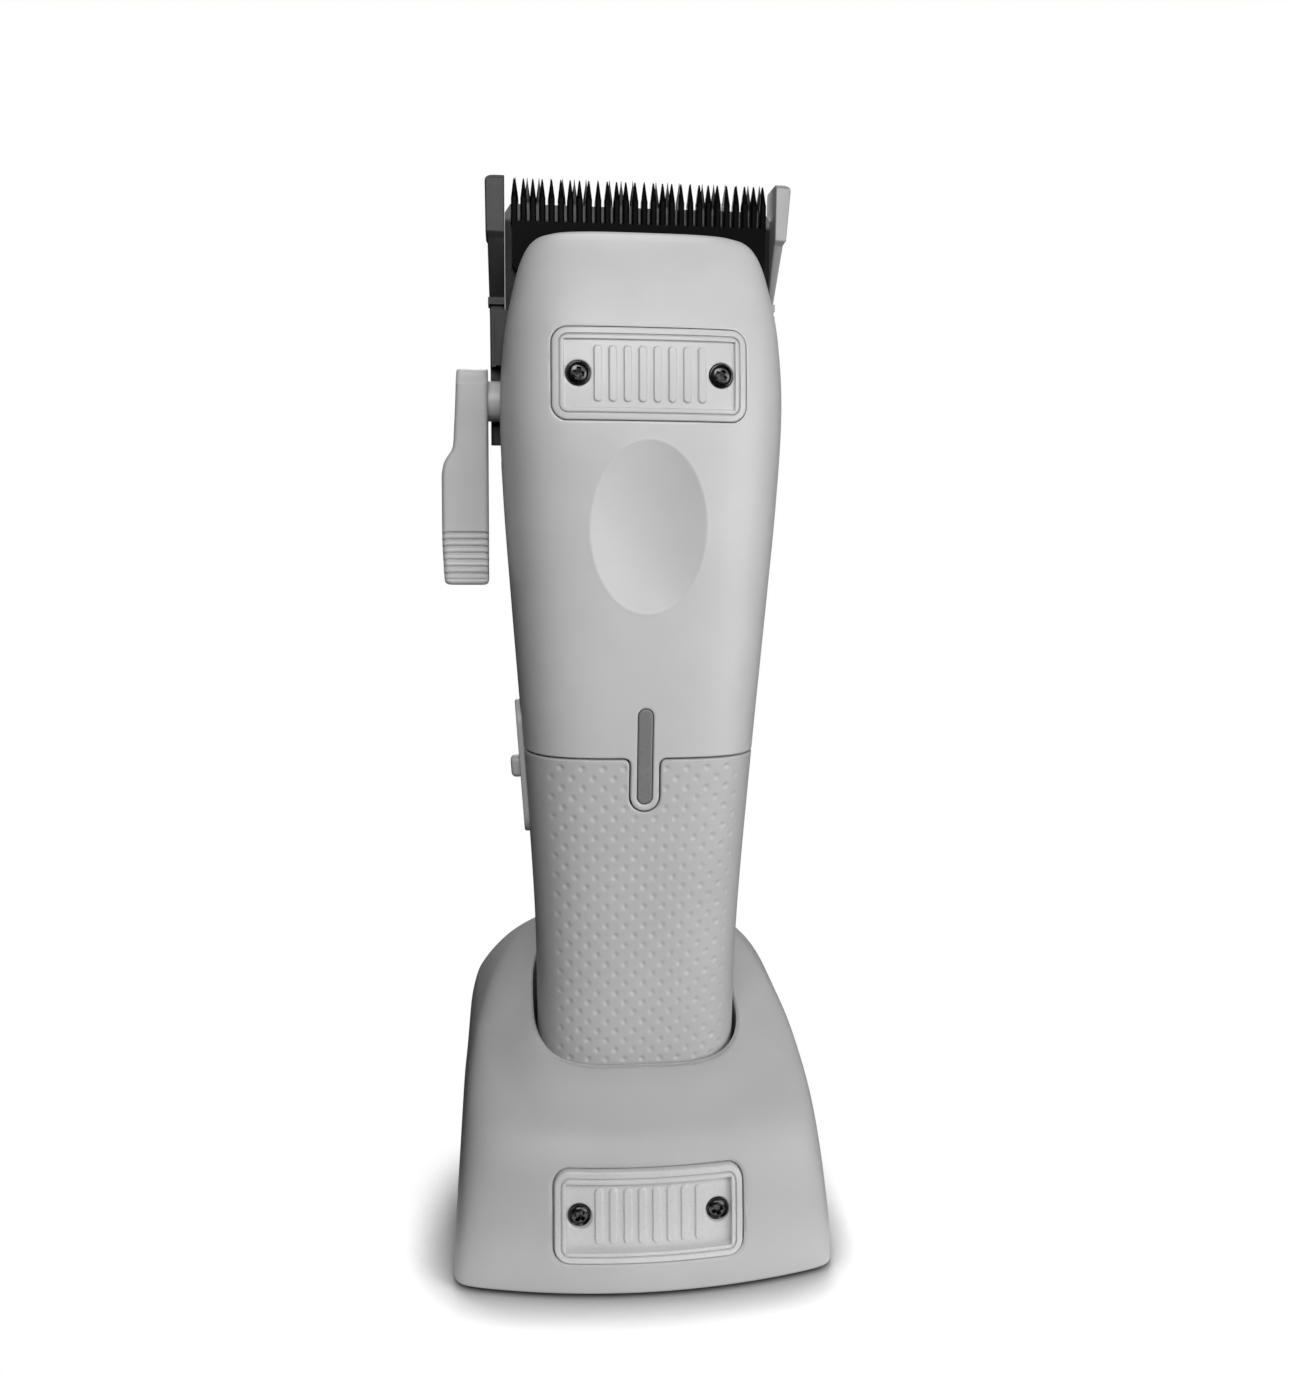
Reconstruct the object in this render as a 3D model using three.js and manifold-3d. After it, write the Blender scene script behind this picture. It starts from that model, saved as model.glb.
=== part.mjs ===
// A cordless barber clipper with a taper lever, standing in its charging dock.
// Millimetres, +Z up, the clipper's front faces -Y.
// The origin is the middle of the dock's footprint on the table.
// The clipper is modelled upright in its own frame (origin at the middle of its bottom end, +Z to the blade)
// and then leans back in the dock's socket.
import * as THREE from "three";
import { mergeVertices } from "three/addons/utils/BufferGeometryUtils.js";
import Module from "manifold-3d";

const wasm = await Module();
wasm.setup();

// ---------------------------------------------------------------- driving dimensions
const LEAN = THREE.MathUtils.degToRad(4.4); // the clipper leans back in the dock
const SEAT_Y = -5.0; // middle of the clipper's bottom end, above the table
const SEAT_Z = 14;
const GAP = 0.3; // between pieces that touch

const WALL = 2.2; // clipper casings
const PART_Z = 74.3; // parting line between the covers and the grips
const SPLIT_Y = 1; // parting plane between front and rear casings
const HEAD_Z = 125; // the head frame starts here
const HEAD_SPLIT_Y = -4.5; // rear edge of the front cover beside the head frame
const TOP_Z = 163.1; // top lip of the front cover

// Outer form of the clipper: height, half width, front depth, rear depth.
const FORM = [
  [0, 14.6, 11.6, 11.4],
  [0.7, 16.4, 13.3, 13.1],
  [2.5, 17.7, 14.6, 14.2],
  [6, 18.2, 15.2, 14.8],
  [20, 18.1, 15.6, 15.2],
  [43, 18.6, 16.2, 15.7],
  [PART_Z, 20.7, 17.4, 15.8],
  [100, 22.7, 18.8, 14.6],
  [118, 24.0, 20.0, 12.6],
  [134, 24.6, 20.3, 9.6],
  [146, 23.8, 18.6, 7.8],
  [153, 22.5, 16.3, 7.0],
  [158, 21.2, 13.6, 6.5],
  [161, 19.8, 11.2, 6.2],
  [162.5, 18.2, 9.4, 6.1],
  [TOP_Z, 16.4, 8.2, 6.0],
];
const FORM_POWER = 3.4; // squareness of the clipper's cross-section

// Outer form of the dock: height, half width, front, back, squareness.
const DOCK = [
  [1, 33.4, -33.2, 33.2, 26],
  [8, 32.9, -32.6, 33.1, 26],
  [14, 32.2, -31.6, 32.8, 24],
  [20, 31.5, -29.8, 32.2, 20],
  [25, 30.9, -26.8, 31.5, 16],
  [28, 30.4, -23.5, 30.9, 14],
  [31, 29.9, -18.5, 29.9, 12],
  [34, 29.1, -13.0, 28.7, 10],
  [36, 28.2, -9.0, 27.7, 8],
  [38, 26.9, -4.6, 26.5, 6.6],
  [40, 25.2, 0.0, 25.1, 5.4],
  [42, 23.2, 4.2, 23.5, 4.6],
  [44, 21.0, 8.0, 21.8, 4.0],
  [46, 18.4, 11.2, 20.0, 3.4],
  [47.8, 15.4, 13.2, 18.5, 3.0],
  [49.2, 11.4, 14.4, 17.4, 2.6],
  [50, 6.8, 15.2, 16.8, 2.3],
];
const FRONT_BULGE = 4.8; // how far the dock's front and back swell beyond their corners
const DOCK_WALL = 2.4;
const SOCKET_GAP = 0.8; // clipper to socket wall
const SOCKET_WALL = 2.0;
const SOCKET_FLOOR = -1.2; // top of the socket's floor, in the clipper's frame

const PLATE = { width: 32.2, height: 15.0, corner: 2.6, thick: 1.2, proud: 0.25, z: 138.6 };
const DOCK_PLATE_Z = 14.2;
const PLATE_SCREW_X = 11.8;
const OVAL = { z: 113.6, halfWidth: 9.75, halfHeight: 14.35, depth: 1.0 };
const LAMP = { width: 2.5, low: 66.2, high: 82.9 };
const TAB = { width: 4.9, low: 65.0 };

const BLADE_HALF = 23.3;
const BLADE_BACK = 4.4; // rear face of the fixed blade
const BLADE_FRONT = 1.9;
const BLADE_LOW = 140;
const FIXED_ROOT = 169.3;
const FIXED_TIP = 173.9;
const FIXED_TEETH = 22;
const FIXED_PITCH = 2.06;
const CUTTER_FRONT = -0.6;
const CUTTER_BACK = 1.6;
const CUTTER_LOW = 152.6;
const CUTTER_ROOT = 166.0;
const CUTTER_TIP = 171.4;
const CUTTER_TEETH = 27;
const CUTTER_PITCH = 1.64;
const CUTTER_SLOT = 0.6;

const ARM_IN = 23.7; // side arms of the blade bracket
const ARM_OUT = 25.2;
const ARM_TAB_OUT = 26.2; // the thicker tabs at their tops
const ARM_STEP = 163.6;
const ARM_TOP = 173.0;
const ARM_LEDGE = 153.2; // a ledge across each arm
const PIVOT = { y: 0.6, z: 135.3 }; // taper lever's axis, along X
const CAM_THROW = 2.3;
const MOTOR = { y: -4, radius: 12, low: 91.5, high: 124.2 };
const CRANK_THROW = 1.0;
const BATTERY = { radius: 9.1, low: 8, high: 73 };
const SWITCH = { z: 69.1, length: 24.5, width: 9, travel: 4 };

// ---------------------------------------------------------------- solids and meshes
function solidOf(geometry) {
  const bare = geometry.index ? geometry.toNonIndexed() : geometry.clone();
  for (const name of Object.keys(bare.attributes)) if (name !== "position") bare.deleteAttribute(name);
  const merged = mergeVertices(bare, 1e-4);
  return new wasm.Manifold(
    new wasm.Mesh({
      numProp: 3,
      vertProperties: merged.attributes.position.array,
      triVerts: new Uint32Array(merged.index.array),
    }),
  );
}

function geometryOf(solid) {
  const mesh = solid.getMesh();
  return new THREE.BufferGeometry()
    .setAttribute("position", new THREE.BufferAttribute(Float32Array.from(mesh.vertProperties), 3))
    .setIndex(new THREE.BufferAttribute(Uint32Array.from(mesh.triVerts), 1));
}

const join = (...solids) => solids.reduce((a, b) => a.add(b));
const cut = (solid, ...tools) => tools.reduce((a, b) => a.subtract(b), solid);

function box(x0, x1, y0, y1, z0, z1) {
  const g = new THREE.BoxGeometry(x1 - x0, y1 - y0, z1 - z0);
  return solidOf(g.translate((x0 + x1) / 2, (y0 + y1) / 2, (z0 + z1) / 2));
}

// A cylinder from a along one axis ("x", "y" or "z") for the given length.
function rod(axis, radius, a, length, sides = 20, endRadius = radius) {
  const g = new THREE.CylinderGeometry(endRadius, radius, length, sides).translate(0, length / 2, 0);
  if (axis === "x") g.rotateZ(-Math.PI / 2);
  if (axis === "z") g.rotateX(Math.PI / 2);
  return solidOf(g.translate(...a));
}

// A flat outline in X and Z (drawn as seen from the front), extruded from y0 to y1.
function frontPrism(shape, y0, y1, segments = 6) {
  const options = { depth: y1 - y0, bevelEnabled: false, curveSegments: segments };
  const g = new THREE.ExtrudeGeometry(shape, options);
  return solidOf(g.rotateX(Math.PI / 2).translate(0, y1, 0));
}

// A flat outline in Y and Z, extruded from x0 to x1.
function sidePrism(shape, x0, x1, segments = 6) {
  const options = { depth: x1 - x0, bevelEnabled: false, curveSegments: segments };
  const g = new THREE.ExtrudeGeometry(shape, options);
  return solidOf(g.rotateX(Math.PI / 2).rotateZ(Math.PI / 2).translate(x0, 0, 0));
}

function roundedRect(cx, cy, width, height, radius) {
  const s = new THREE.Shape();
  const [l, r, b, t] = [cx - width / 2, cx + width / 2, cy - height / 2, cy + height / 2];
  s.moveTo(l + radius, b);
  s.lineTo(r - radius, b);
  s.absarc(r - radius, b + radius, radius, -Math.PI / 2, 0);
  s.lineTo(r, t - radius);
  s.absarc(r - radius, t - radius, radius, 0, Math.PI / 2);
  s.lineTo(l + radius, t);
  s.absarc(l + radius, t - radius, radius, Math.PI / 2, Math.PI);
  s.lineTo(l, b + radius);
  s.absarc(l + radius, b + radius, radius, Math.PI, 1.5 * Math.PI);
  return s;
}

// Smooth reading of a table's columns at a height (Catmull-Rom through the rows).
function readTable(table, z) {
  const last = table.length - 1;
  let i = table.findIndex((row) => row[0] > z) - 1;
  if (i === -2) i = last - 1;
  i = Math.max(0, Math.min(last - 1, i));
  const [a, b, c, d] = [Math.max(0, i - 1), i, i + 1, Math.min(last, i + 2)].map((k) => table[k]);
  const span = c[0] - b[0];
  const t = Math.max(0, Math.min(1, (z - b[0]) / span));
  return b.slice(1).map((value, k) => {
    const m0 = ((c[k + 1] - a[k + 1]) / (c[0] - a[0])) * span;
    const m1 = ((d[k + 1] - value) / (d[0] - b[0])) * span;
    const t2 = t * t;
    const t3 = t2 * t;
    return (
      (2 * t3 - 3 * t2 + 1) * value + (t3 - 2 * t2 + t) * m0 + (3 * t2 - 2 * t3) * c[k + 1] + (t3 - t2) * m1
    );
  });
}

// A closed solid through rings of points that all have the same count, running anticlockwise from above.
function loft(rings) {
  const count = rings[0].length;
  const points = rings.flat().flat();
  const index = [];
  for (let r = 0; r + 1 < rings.length; r++) {
    for (let k = 0; k < count; k++) {
      const [a, b] = [r * count + k, r * count + ((k + 1) % count)];
      index.push(a, b, b + count, a, b + count, a + count);
    }
  }
  const low = points.length / 3;
  const middle = (ring) => [0, 1, 2].map((k) => ring.reduce((sum, p) => sum + p[k], 0) / count);
  points.push(...middle(rings[0]), ...middle(rings[rings.length - 1]));
  const topStart = (rings.length - 1) * count;
  for (let k = 0; k < count; k++) {
    const next = (k + 1) % count;
    index.push(low, next, k, low + 1, topStart + k, topStart + next);
  }
  const g = new THREE.BufferGeometry().setAttribute("position", new THREE.Float32BufferAttribute(points, 3));
  return solidOf(g.setIndex(index));
}

// Points round a squarish outline that fits a square of half width 1, anticlockwise.
function squarish(power, sides) {
  return Array.from({ length: sides }, (_, k) => {
    const angle = (2 * Math.PI * (k + 0.5)) / sides;
    const [x, y] = [Math.cos(angle), Math.sin(angle)];
    const reach = (Math.abs(x) ** power + Math.abs(y) ** power) ** (-1 / power);
    return [x * reach, y * reach];
  });
}

// The clipper's outline at a height, grown by an offset (negative to shrink it).
function formRing(z, grow = 0, sides = 28) {
  const [half, front, back] = readTable(FORM, z);
  const ring = squarish(FORM_POWER, sides);
  return ring.map(([x, y]) => [x * (half + grow), y * ((y < 0 ? front : back) + grow), z]);
}

function formSolid(z0, z1, grow = 0, steps = 8, sides = 28) {
  const rows = FORM.map((row) => row[0]).filter((z) => z > z0 + 0.4 && z < z1 - 0.4);
  const even = Array.from({ length: steps + 1 }, (_, k) => z0 + ((z1 - z0) * k) / steps);
  const near = (z) => rows.some((row) => Math.abs(row - z) < (z1 - z0) / steps / 2);
  const between = even.filter((z, k) => k === 0 || k === steps || !near(z));
  const heights = [...rows, ...between].sort((a, b) => a - b);
  return loft(heights.map((z) => formRing(z, grow, sides)));
}

// The dock's outline at a height.
function dockRing(z, grow = 0, sides = 44) {
  const [half, front, back, power] = readTable(DOCK, z);
  const [w, d, middle] = [half + grow, (back - front) / 2 + grow, (back + front) / 2];
  const share = Math.min(1, (1.3 * w) / DOCK[0][1]);
  return squarish(power, sides).map(([x, y]) => [
    x * w,
    middle + y * d + Math.sign(y) * FRONT_BULGE * share * (1 - x * x),
    z,
  ]);
}

// The dock's form between two heights, grown sideways by an offset; every nth row keeps its place.
function dockSolid(grow, low, high, { every = 1, sides = 44, lift = 0 } = {}) {
  const inside = (z) => z > low + 0.5 && z < high - 0.5;
  const rows = DOCK.map((row) => row[0]).filter((z, k) => inside(z) && k % every === 0);
  const [bottom, top] = [DOCK[0][0], DOCK[DOCK.length - 1][0]];
  const read = (z) => Math.max(bottom, Math.min(top, z + (z > 20 ? lift : 0)));
  return loft([low, ...rows, high].map((z) => dockRing(read(z), grow, sides).map(([x, y]) => [x, y, z])));
}

// ---------------------------------------------------------------- materials
const surface = (color, roughness, metalness) =>
  new THREE.MeshStandardMaterial({ color, roughness, metalness });
const plastic = (color, roughness = 0.55) => surface(color, roughness, 0);
const metal = (color, roughness = 0.3) => surface(color, roughness, 1);
const MATERIALS = {
  casing: plastic(0xc9c9c9),
  grip: plastic(0xb9b9b9, 0.65),
  dock: plastic(0xb0b0b0, 0.6),
  plate: plastic(0xd0d0d0, 0.45),
  lamp: plastic(0x7b7b7b, 0.35),
  black: plastic(0x101010, 0.5),
  rubber: plastic(0x1a1a1a, 0.9),
  board: plastic(0x1d4a2c, 0.5),
  battery: plastic(0x2f6fa8, 0.4),
  steel: metal(0x9b9b9b),
  blackSteel: metal(0x121214, 0.35),
  brass: metal(0xc9a253),
};

const root = new THREE.Group();
const clipper = new THREE.Group();
clipper.position.set(0, SEAT_Y, SEAT_Z);
clipper.rotation.x = -LEAN;
root.add(clipper);

function place(parent, name, solid, material) {
  const mesh = new THREE.Mesh(geometryOf(solid), MATERIALS[material]);
  mesh.name = name;
  parent.add(mesh);
  return mesh;
}

// ---------------------------------------------------------------- screws
// A cross-head screw along -Y, its head's face at the origin and its shank going back (+Y).
function crossScrew(headRadius, headDepth, shankRadius, length) {
  const head = rod("y", headRadius * 0.86, [0, 0, 0], headDepth, 14, headRadius);
  const shank = rod("y", shankRadius, [0, headDepth - 0.1, 0], length, 8);
  const slot = headRadius * 0.22;
  const reach = headRadius * 0.6;
  const cross = join(
    box(-slot, slot, -1, headDepth * 0.55, -reach, reach),
    box(-reach, reach, -1, headDepth * 0.55, -slot, slot),
  );
  return cut(join(head, shank), cross);
}

// ---------------------------------------------------------------- clipper casings
const plateOutline = (z, grow) =>
  roundedRect(0, z, PLATE.width + 2 * grow, PLATE.height + 2 * grow, PLATE.corner + grow);

// A conformal slice of the clipper's front: between two offsets of the form, inside an outline.
function frontSlice(outline, outer, inner, z0, z1) {
  const layer = cut(formSolid(z0, z1, outer, 4), formSolid(z0 - 5, z1 + 5, inner, 4));
  return layer.intersect(frontPrism(outline, -40, -3));
}

const lampOutline = (grow) =>
  roundedRect(0, (LAMP.low + LAMP.high) / 2, LAMP.width + 2 * grow, LAMP.high - LAMP.low + 2 * grow,
    LAMP.width / 2 + grow - 0.01);
const tabOutline = (grow) =>
  roundedRect(0, (TAB.low + PART_Z + 12) / 2, TAB.width + 2 * grow, PART_Z + 12 - TAB.low + 2 * grow,
    TAB.width / 2 + grow - 0.01);

// The left side's slope at the power switch, and a group that lies on it.
const switchHalf = readTable(FORM, SWITCH.z)[0];
const switchTilt = Math.atan(
  (readTable(FORM, SWITCH.z + 12)[0] - readTable(FORM, SWITCH.z - 12)[0]) / 24,
);
const switchGroup = new THREE.Group();
switchGroup.position.set(-switchHalf, 0, SWITCH.z);
switchGroup.rotation.y = -switchTilt;
clipper.add(switchGroup);

function inSwitchFrame(solid) {
  return solid.rotate([0, (-switchTilt * 180) / Math.PI, 0]).translate([-switchHalf, 0, SWITCH.z]);
}

const bezelOutline = (grow) => {
  const half = SWITCH.length / 2 + grow;
  const radius = SWITCH.width / 2 + grow;
  const s = new THREE.Shape();
  s.absarc(0, half - radius, radius, 0, Math.PI);
  s.absarc(0, -half + radius, radius, Math.PI, 2 * Math.PI);
  return s;
};
const switchPocket = inSwitchFrame(sidePrism(bezelOutline(GAP), -3, 4));

function frontCover() {
  const outer = formSolid(PART_Z - 11, TOP_Z, 0, 9);
  const inner = formSolid(PART_Z - 12, TOP_Z - 1.6, -WALL, 6, 20);
  const shell = cut(outer, inner, box(-12, 12, -6.5, 20, TOP_Z - 3, TOP_Z + 1));
  const body = cut(shell, box(-40, 40, -40, 40, 0, PART_Z), box(-40, 40, SPLIT_Y, 40, 0, 200),
    box(-40, 40, HEAD_SPLIT_Y, 40, HEAD_Z - GAP, 200));
  const tab = shell.intersect(frontPrism(tabOutline(0), -40, -3));
  const dish = solidOf(
    new THREE.SphereGeometry(1, 20, 12)
      .scale(OVAL.halfWidth * 1.25, 2.5, OVAL.halfHeight * 1.25)
      .translate(0, -readTable(FORM, OVAL.z)[1] - 2.5 + OVAL.depth, OVAL.z),
  );
  return cut(join(body, tab),
    frontSlice(plateOutline(PLATE.z, GAP), 1.5, PLATE.proud - PLATE.thick - GAP, PLATE.z - 9, PLATE.z + 9),
    frontPrism(lampOutline(GAP), -40, -3), dish, switchPocket,
    rod("y", 1.7, [-PLATE_SCREW_X, -22, PLATE.z], 8), rod("y", 1.7, [PLATE_SCREW_X, -22, PLATE.z], 8));
}

const HOUSING_SCREWS = [[-14.5, 88], [14.5, 88], [-12, 58], [12, 58]]; // rear face, x and height

function screwHoles(radius = 1.9) {
  return HOUSING_SCREWS.map(([x, z]) => join(
    rod("y", radius, [x, -2, z], 30, 16), rod("y", 3.1, [x, surfaceBack(x, z) - 1.5, z], 10, 20)));
}

function surfaceBack(x, z) {
  const [half, , back] = readTable(FORM, z);
  return back * (1 - Math.abs(x / half) ** FORM_POWER) ** (1 / FORM_POWER);
}

function rearCover() {
  const shell = cut(formSolid(PART_Z, HEAD_Z - GAP, 0, 5), formSolid(PART_Z - 1, HEAD_Z + 1, -WALL, 4, 20));
  return cut(shell, box(-40, 40, -40, SPLIT_Y + GAP, 0, 200), switchPocket, ...screwHoles());
}

function grip(front) {
  const shell = cut(formSolid(6, PART_Z - GAP, 0, 5), formSolid(5, PART_Z + 1, -WALL, 3, 20));
  return front
    ? cut(shell, box(-40, 40, SPLIT_Y, 40, 0, 200), frontPrism(tabOutline(GAP), -40, -3), switchPocket)
    : cut(shell, box(-40, 40, -40, SPLIT_Y + GAP, 0, 200), switchPocket, ...screwHoles());
}

const CONTACT_X = 5;

function endCap() {
  const shell = cut(formSolid(0, 6 - GAP, 0, 2), formSolid(2, 7, -WALL, 2, 20));
  return cut(shell, ...[-1, 1].map((s) => rod("z", 2.3, [s * CONTACT_X, 0, -1], 5)));
}

place(clipper, "front_cover", frontCover(), "casing");
place(clipper, "rear_cover", rearCover(), "casing");
place(clipper, "grip_front", grip(true), "grip");
place(clipper, "grip_rear", grip(false), "grip");
place(clipper, "end_cap", endCap(), "grip");

// ---------------------------------------------------------------- nameplate, lamp, housing screws
const nameplate = cut(
  frontSlice(plateOutline(PLATE.z, 0), PLATE.proud, PLATE.proud - PLATE.thick, PLATE.z - 8, PLATE.z + 8),
  ...[-1, 1].map((s) => rod("y", 2.1, [s * PLATE_SCREW_X, -25, PLATE.z], 10)));
place(clipper, "nameplate", nameplate, "plate");

for (const [side, s] of [["left", -1], ["right", 1]]) {
  const screw = place(clipper, `nameplate_screw_${side}`, crossScrew(1.75, 1.0, 0.9, 4.2), "blackSteel");
  screw.position.set(s * PLATE_SCREW_X, -19.35, PLATE.z);
}

const lampSolid = frontSlice(lampOutline(0), -0.15, -WALL - 0.8, LAMP.low - 1, LAMP.high + 1);
place(clipper, "battery_lamp", lampSolid, "lamp");

HOUSING_SCREWS.forEach(([x, z], k) => {
  const screw = place(clipper, `housing_screw_${k + 1}`, crossScrew(2.6, 1.1, 1.3, 9), "blackSteel");
  screw.position.set(x, surfaceBack(x, z) - 0.1, z);
  screw.rotation.z = Math.PI;
});

// ---------------------------------------------------------------- power switch
const KNOB = { half: 2.65, width: 3.4, out: 2.2 };
const slotHalf = KNOB.half + SWITCH.travel / 2 + GAP;
const bezel = cut(sidePrism(bezelOutline(0), -0.9, 1.2),
  box(-5, 5, -KNOB.width / 2 - GAP, KNOB.width / 2 + GAP,
    SWITCH.travel / 2 - slotHalf, SWITCH.travel / 2 + slotHalf));
place(switchGroup, "switch_bezel", bezel, "casing");
const knob = join(
  box(-KNOB.out, 2.2, -KNOB.width / 2, KNOB.width / 2, -KNOB.half, KNOB.half),
  box(1.6, 2.6, -KNOB.width / 2 - 0.9, KNOB.width / 2 + 0.9, -KNOB.half - 1, KNOB.half + 1));
place(switchGroup, "switch_knob", knob, "casing");
const module = cut(box(3, 7.4, -3.2, 3.2, -8, 10), box(2, 4.6, -1.4, 1.4, -4, 8));
place(switchGroup, "switch_module", module, "black");

// ---------------------------------------------------------------- battery, board, motor
const batteryLength = BATTERY.high - BATTERY.low;
place(clipper, "battery_cell", rod("z", BATTERY.radius, [0, 0, BATTERY.low], batteryLength, 24), "battery");
const cradleTube = cut(rod("z", BATTERY.radius + 1.9, [0, 0, BATTERY.low], batteryLength + 2.4, 24),
  rod("z", BATTERY.radius + GAP, [0, 0, BATTERY.low - 1], BATTERY.high - BATTERY.low + 1 + GAP, 24));
const cradleSlots = [20, 40, 60].map((z) => box(-6, 6, 5, 20, z - 5, z + 5));
place(clipper, "battery_cradle", cut(cradleTube, box(-20, 20, -20, 2.5, 0, 90), ...cradleSlots), "black");
const board = cut(box(-11.5, 11.5, -12.2, -10.8, 42, 88), rod("y", 1.4, [-9, -14, 84], 5, 12),
  rod("y", 1.4, [9, -14, 84], 5, 12));
place(clipper, "circuit_board", board, "board");

const motorCan = cut(
  join(rod("z", MOTOR.radius, [0, MOTOR.y, MOTOR.low], MOTOR.high - MOTOR.low, 28),
    rod("z", 3.4, [0, MOTOR.y, MOTOR.high - 1], 2.6, 20)),
  rod("z", 1.4, [0, MOTOR.y, MOTOR.high - 12], 20, 16));
place(clipper, "motor", motorCan, "steel");
place(clipper, "motor_shaft", rod("z", 1.0, [0, MOTOR.y, MOTOR.high - 11], 21.2, 12), "steel");
const CAM_Z = 131.5;
const camDisc = rod("z", 3.8, [0, MOTOR.y, CAM_Z], 3.6, 20);
const crankPin = rod("z", 1.2, [0, MOTOR.y - CRANK_THROW, CAM_Z + 3.3], 7.7, 14);
const camBore = rod("z", 1.3, [0, MOTOR.y, CAM_Z - 1], 4.2, 12);
place(clipper, "drive_cam", cut(join(camDisc, crankPin), camBore), "brass");

// ---------------------------------------------------------------- head frame
function headFrame() {
  const outer = formSolid(HEAD_Z, 151, 0, 5)
    .intersect(box(-23.3, 23.3, HEAD_SPLIT_Y + GAP, 20, HEAD_Z, 150));
  const floorBox = box(-23, 23, -18, 10, HEAD_Z + 0.6, 129.4);
  const floor = formSolid(HEAD_Z, 130, -WALL - 3 * GAP, 3, 20).intersect(floorBox);
  return cut(join(outer, floor),
    box(-21, 21, -10, 1.9, 129.4, 160),
    box(-40, 40, -0.5, 30, 137.6, 160),
    box(-20.8, -15.4, -1, 5.6, 129, 140),
    rod("x", 2.8, [-30, PIVOT.y, PIVOT.z], 12, 20),
    rod("z", 3.8, [0, MOTOR.y, 120], 20, 20),
    box(-21.1, 21.1, -20, HEAD_SPLIT_Y + 1, 129.4, 160));
}
place(clipper, "head_frame", headFrame(), "black");

// ---------------------------------------------------------------- blades
function toothRow(count, pitch, root, tip, halfRoot, halfTip, y0, y1) {
  return Array.from({ length: count }, (_, k) => {
    const x = (k - (count - 1) / 2) * pitch;
    const s = new THREE.Shape();
    s.moveTo(x - halfRoot, root - 0.5);
    s.lineTo(x + halfRoot, root - 0.5);
    s.lineTo(x + halfTip, tip);
    s.lineTo(x - halfTip, tip);
    return frontPrism(s, y0, y1);
  });
}

const BLADE_SCREWS = [-12, 12];
const BLADE_SCREW_Z = 145;
const fixedBody = new THREE.Shape([
  [-20, BLADE_LOW], [20, BLADE_LOW], [BLADE_HALF, 143.6], [BLADE_HALF, FIXED_ROOT - 1.5],
  [BLADE_HALF - 0.8, FIXED_ROOT], [-BLADE_HALF + 0.8, FIXED_ROOT],
  [-BLADE_HALF, FIXED_ROOT - 1.5], [-BLADE_HALF, 143.6],
].map(([x, z]) => new THREE.Vector2(x, z)));
const fixedBlade = cut(
  join(frontPrism(fixedBody, BLADE_FRONT, BLADE_BACK),
    ...toothRow(FIXED_TEETH, FIXED_PITCH, FIXED_ROOT, FIXED_TIP, 0.62, 0.14, BLADE_FRONT, BLADE_BACK - 1.1)),
  ...BLADE_SCREWS.map((x) => rod("y", 1.9, [x, 0, BLADE_SCREW_Z], 10, 16)));
place(clipper, "fixed_blade", fixedBlade, "blackSteel");

const cutterHalf = ((CUTTER_TEETH - 1) * CUTTER_PITCH) / 2 + 0.5;
const cutterTaper = new THREE.Shape([
  [-cutterHalf, CUTTER_LOW + 6], [-cutterHalf + 5, CUTTER_LOW],
  [cutterHalf - 5, CUTTER_LOW], [cutterHalf, CUTTER_LOW + 6],
  [cutterHalf, CUTTER_ROOT], [-cutterHalf, CUTTER_ROOT],
].map(([x, z]) => new THREE.Vector2(x, z)));
const cutter = join(frontPrism(cutterTaper, CUTTER_FRONT, CUTTER_BACK),
  ...toothRow(CUTTER_TEETH, CUTTER_PITCH, CUTTER_ROOT, CUTTER_TIP, (CUTTER_PITCH - CUTTER_SLOT) / 2, 0.22,
    CUTTER_FRONT + 0.4, CUTTER_BACK));
place(clipper, "moving_blade", cutter, "blackSteel");

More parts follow.
